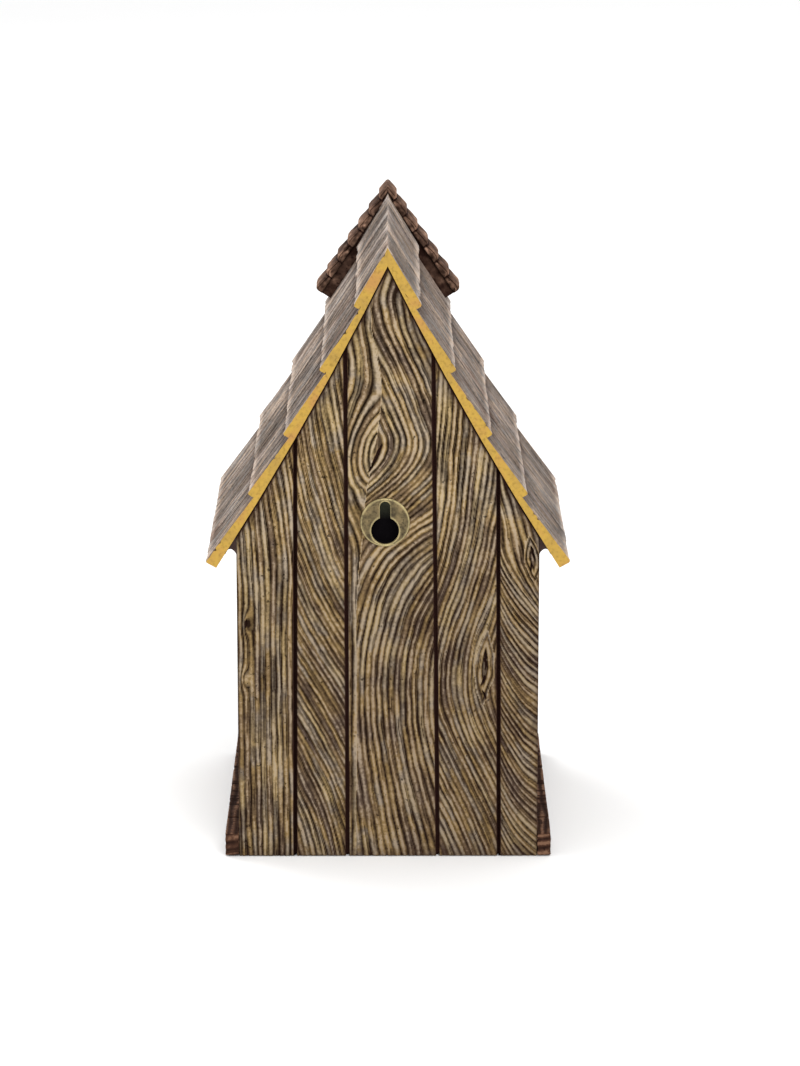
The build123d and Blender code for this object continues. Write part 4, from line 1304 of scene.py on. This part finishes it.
def button():
    low, high = box_mm("turn_button")
    pivot_y = (low[1] + high[1]) / 2
    half = (high[1] - low[1]) / 2
    pivot_z = low[2] + half
    mesh = washer("vis_turn_button", (high[0], pivot_y, pivot_z), (0, 1, 0), (0, 0, 1),
                  lambda angle: BUTTON_HOLE_R + 0 * angle,
                  lambda angle: keyhole_radius(angle, half, half, high[2] - pivot_z),
                  high[0] - low[0], 0.6, 0.15, 811)
    piece(mesh, [TRIM], ["turn_button"], "button")


def perch():
    """A round peg along Y with a rounded nose, grooved along its length."""
    low, high = box_mm("perch")
    centre = (low + high) / 2
    radius = (high[0] - low[0]) / 2
    length = high[1] - low[1]
    nose = radius * 0.6
    curve = [(nose * (1 - cos(a)), radius - nose + nose * sin(a)) for a in np.linspace(0, pi / 2, 7)]
    shaft = [(x, radius) for x in spaced(nose + 0.8, length, 0.8)]
    angles = round_angles(96)
    lines = angles / (2 * pi) * 14

    def grain(across, z):
        return across + 0.3 * noise(across / 2, z / 12, 821)

    rows, grains = [], []
    for along, wide in [(0.0, 0.6), (0.0, 1.1), *curve[1:], *shaft]:
        height, tone = carve(grain, lines, along + 0 * angles, 821)
        r = wide - 0.16 * (1 - height) * min(1.0, wide)
        y = low[1] + along + 0 * angles
        rows.append(np.stack([centre[0] + r * np.cos(angles), y, centre[2] + r * np.sin(angles)], 1))
        grains.append(grain_of(0.35 + 0.65 * height, tone, 0.0))
    mesh = sweep("vis_perch", np.array(rows), np.array(grains), closed=False, capped=True)
    piece(mesh, [TRIM], ["perch"])


def entrance_ring():
    """A flat ring round the entrance, with rounded edges and a shallow groove round its middle."""
    low, high = box_mm("entrance_ring")
    centre = (low + high) / 2
    outer_r = (high[0] - low[0]) / 2
    thick = high[1] - low[1]
    middle = (outer_r + ENTRANCE_R) / 2
    half = (outer_r - ENTRANCE_R) / 2
    left = [(-1, 0), (-1, 0.55), (-0.94, 0.8), (-0.8, 0.93), (-0.6, 0.99), (-0.3, 1), (-0.1, 0.88)]
    profile = left + [(-x, y) for x, y in reversed(left)]
    section = [(middle + half * x, thick * y) for x, y in profile]
    angles = round_angles(240)
    rows, grains = [], []
    for (r0, t0), (r1, t1) in zip(section, section[1:] + section[:1]):
        count = max(1, int(np.hypot(r1 - r0, t1 - t0) / 0.5))
        for k in range(count):
            r, t = r0 + (r1 - r0) * k / count, t0 + (t1 - t0) * k / count
            x, z = r * np.cos(angles), r * np.sin(angles)
            height, tone = carve(lambda a, b: a / 2.2 + 0.4 * noise(a / 7, b / 20, 831), x, z, 831)
            y = low[1] + thick - t + 0.2 * (1 - height) * (t > 0.5)
            rows.append(np.stack([centre[0] + x, y, centre[2] + z], 1))
            grains.append(grain_of(0.3 + 0.7 * height, tone, 0.3 * (abs(r - middle) < 0.8)))
    mesh = sweep("vis_entrance_ring", np.array(rows), np.array(grains), closed=True)
    piece(mesh, [TRIM], ["entrance_ring"])


def metal_nodes():
    """The CAD's own pins and screw, which are the right shape, in steel."""
    for node in ("door_pivot_pins", "turn_button_screw"):
        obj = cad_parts[node]
        if not obj.data.materials:
            obj.data.materials.append(STEEL)
        for slot in obj.material_slots:
            slot.link = "OBJECT"
            slot.material = STEEL


back_pieces()
front_pieces()
side_pieces()
frame_timbers()
plinth()
roof()
hanger()
button()
perch()
entrance_ring()
metal_nodes()


# ---------------------------------------------------------------- camera, light, floor

def studio():
    """White surroundings, a large soft light overhead and a weaker one to the camera's right."""
    world = bpy.data.worlds.new("studio")
    bpy.context.scene.world = world
    world.use_nodes = True
    background = world.node_tree.nodes["Background"]
    background.inputs["Color"].default_value = (1.0, 1.0, 1.0, 1.0)
    background.inputs["Strength"].default_value = 1.0
    middle = Vector((0.0, 0.0, 0.12))
    for name, place, size, power in (
        ("key", (-0.35, 1.55, 1.5), 1.2, 22.0),
        ("fill", (1.2, -1.2, 1.3), 1.2, 14.0),
    ):
        lamp = bpy.data.lights.new(name, "AREA")
        lamp.size = size
        lamp.energy = power
        obj = bpy.data.objects.new(name, lamp)
        obj.location = place
        obj.rotation_mode = "QUATERNION"
        obj.rotation_quaternion = (Vector(place) - middle).to_track_quat("Z", "Y")
        bpy.context.scene.collection.objects.link(obj)


def floor():
    material, tree = new_material("studio_floor")
    mottling = noise_node(tree, 3.0, 2.0)
    colour = grey(tree, mottling, (0.0, 0.93), (1.0, 0.96))
    roughness = grey(tree, mottling, (0.0, 0.9), (1.0, 0.8))
    finish(tree, colour, roughness, (mottling, 0.05, 0.001), specular=0.1)
    reach = 12.0
    mesh = bpy.data.meshes.new("floor")
    corners = [(-reach, -reach, 0.0), (reach, -reach, 0.0), (reach, reach, 0.0), (-reach, reach, 0.0)]
    mesh.from_pydata(corners, [], [(0, 1, 2, 3)])
    mesh.materials.append(material)
    obj = bpy.data.objects.new("floor", mesh)
    obj.location.z = CAD_LOW.z - 0.0004
    bpy.context.scene.collection.objects.link(obj)


def camera():
    """Behind the house, looking slightly down at its hanging side."""
    target = Vector((-4.787, 69.5, 134.5)) * MM
    distance = 1536.3 * MM
    turn = 0.00239
    down = 0.24999
    towards = Vector((sin(turn) * cos(down), cos(turn) * cos(down), sin(down)))
    data = bpy.data.cameras.new("camera")
    data.lens = 131.43
    data.sensor_width = 36.0
    obj = bpy.data.objects.new("camera", data)
    obj.location = target + towards * distance
    obj.rotation_mode = "QUATERNION"
    obj.rotation_quaternion = towards.to_track_quat("Z", "Y")
    bpy.context.scene.collection.objects.link(obj)
    bpy.context.scene.camera = obj


studio()
floor()
camera()
bpy.context.scene.view_settings.view_transform = "Standard"
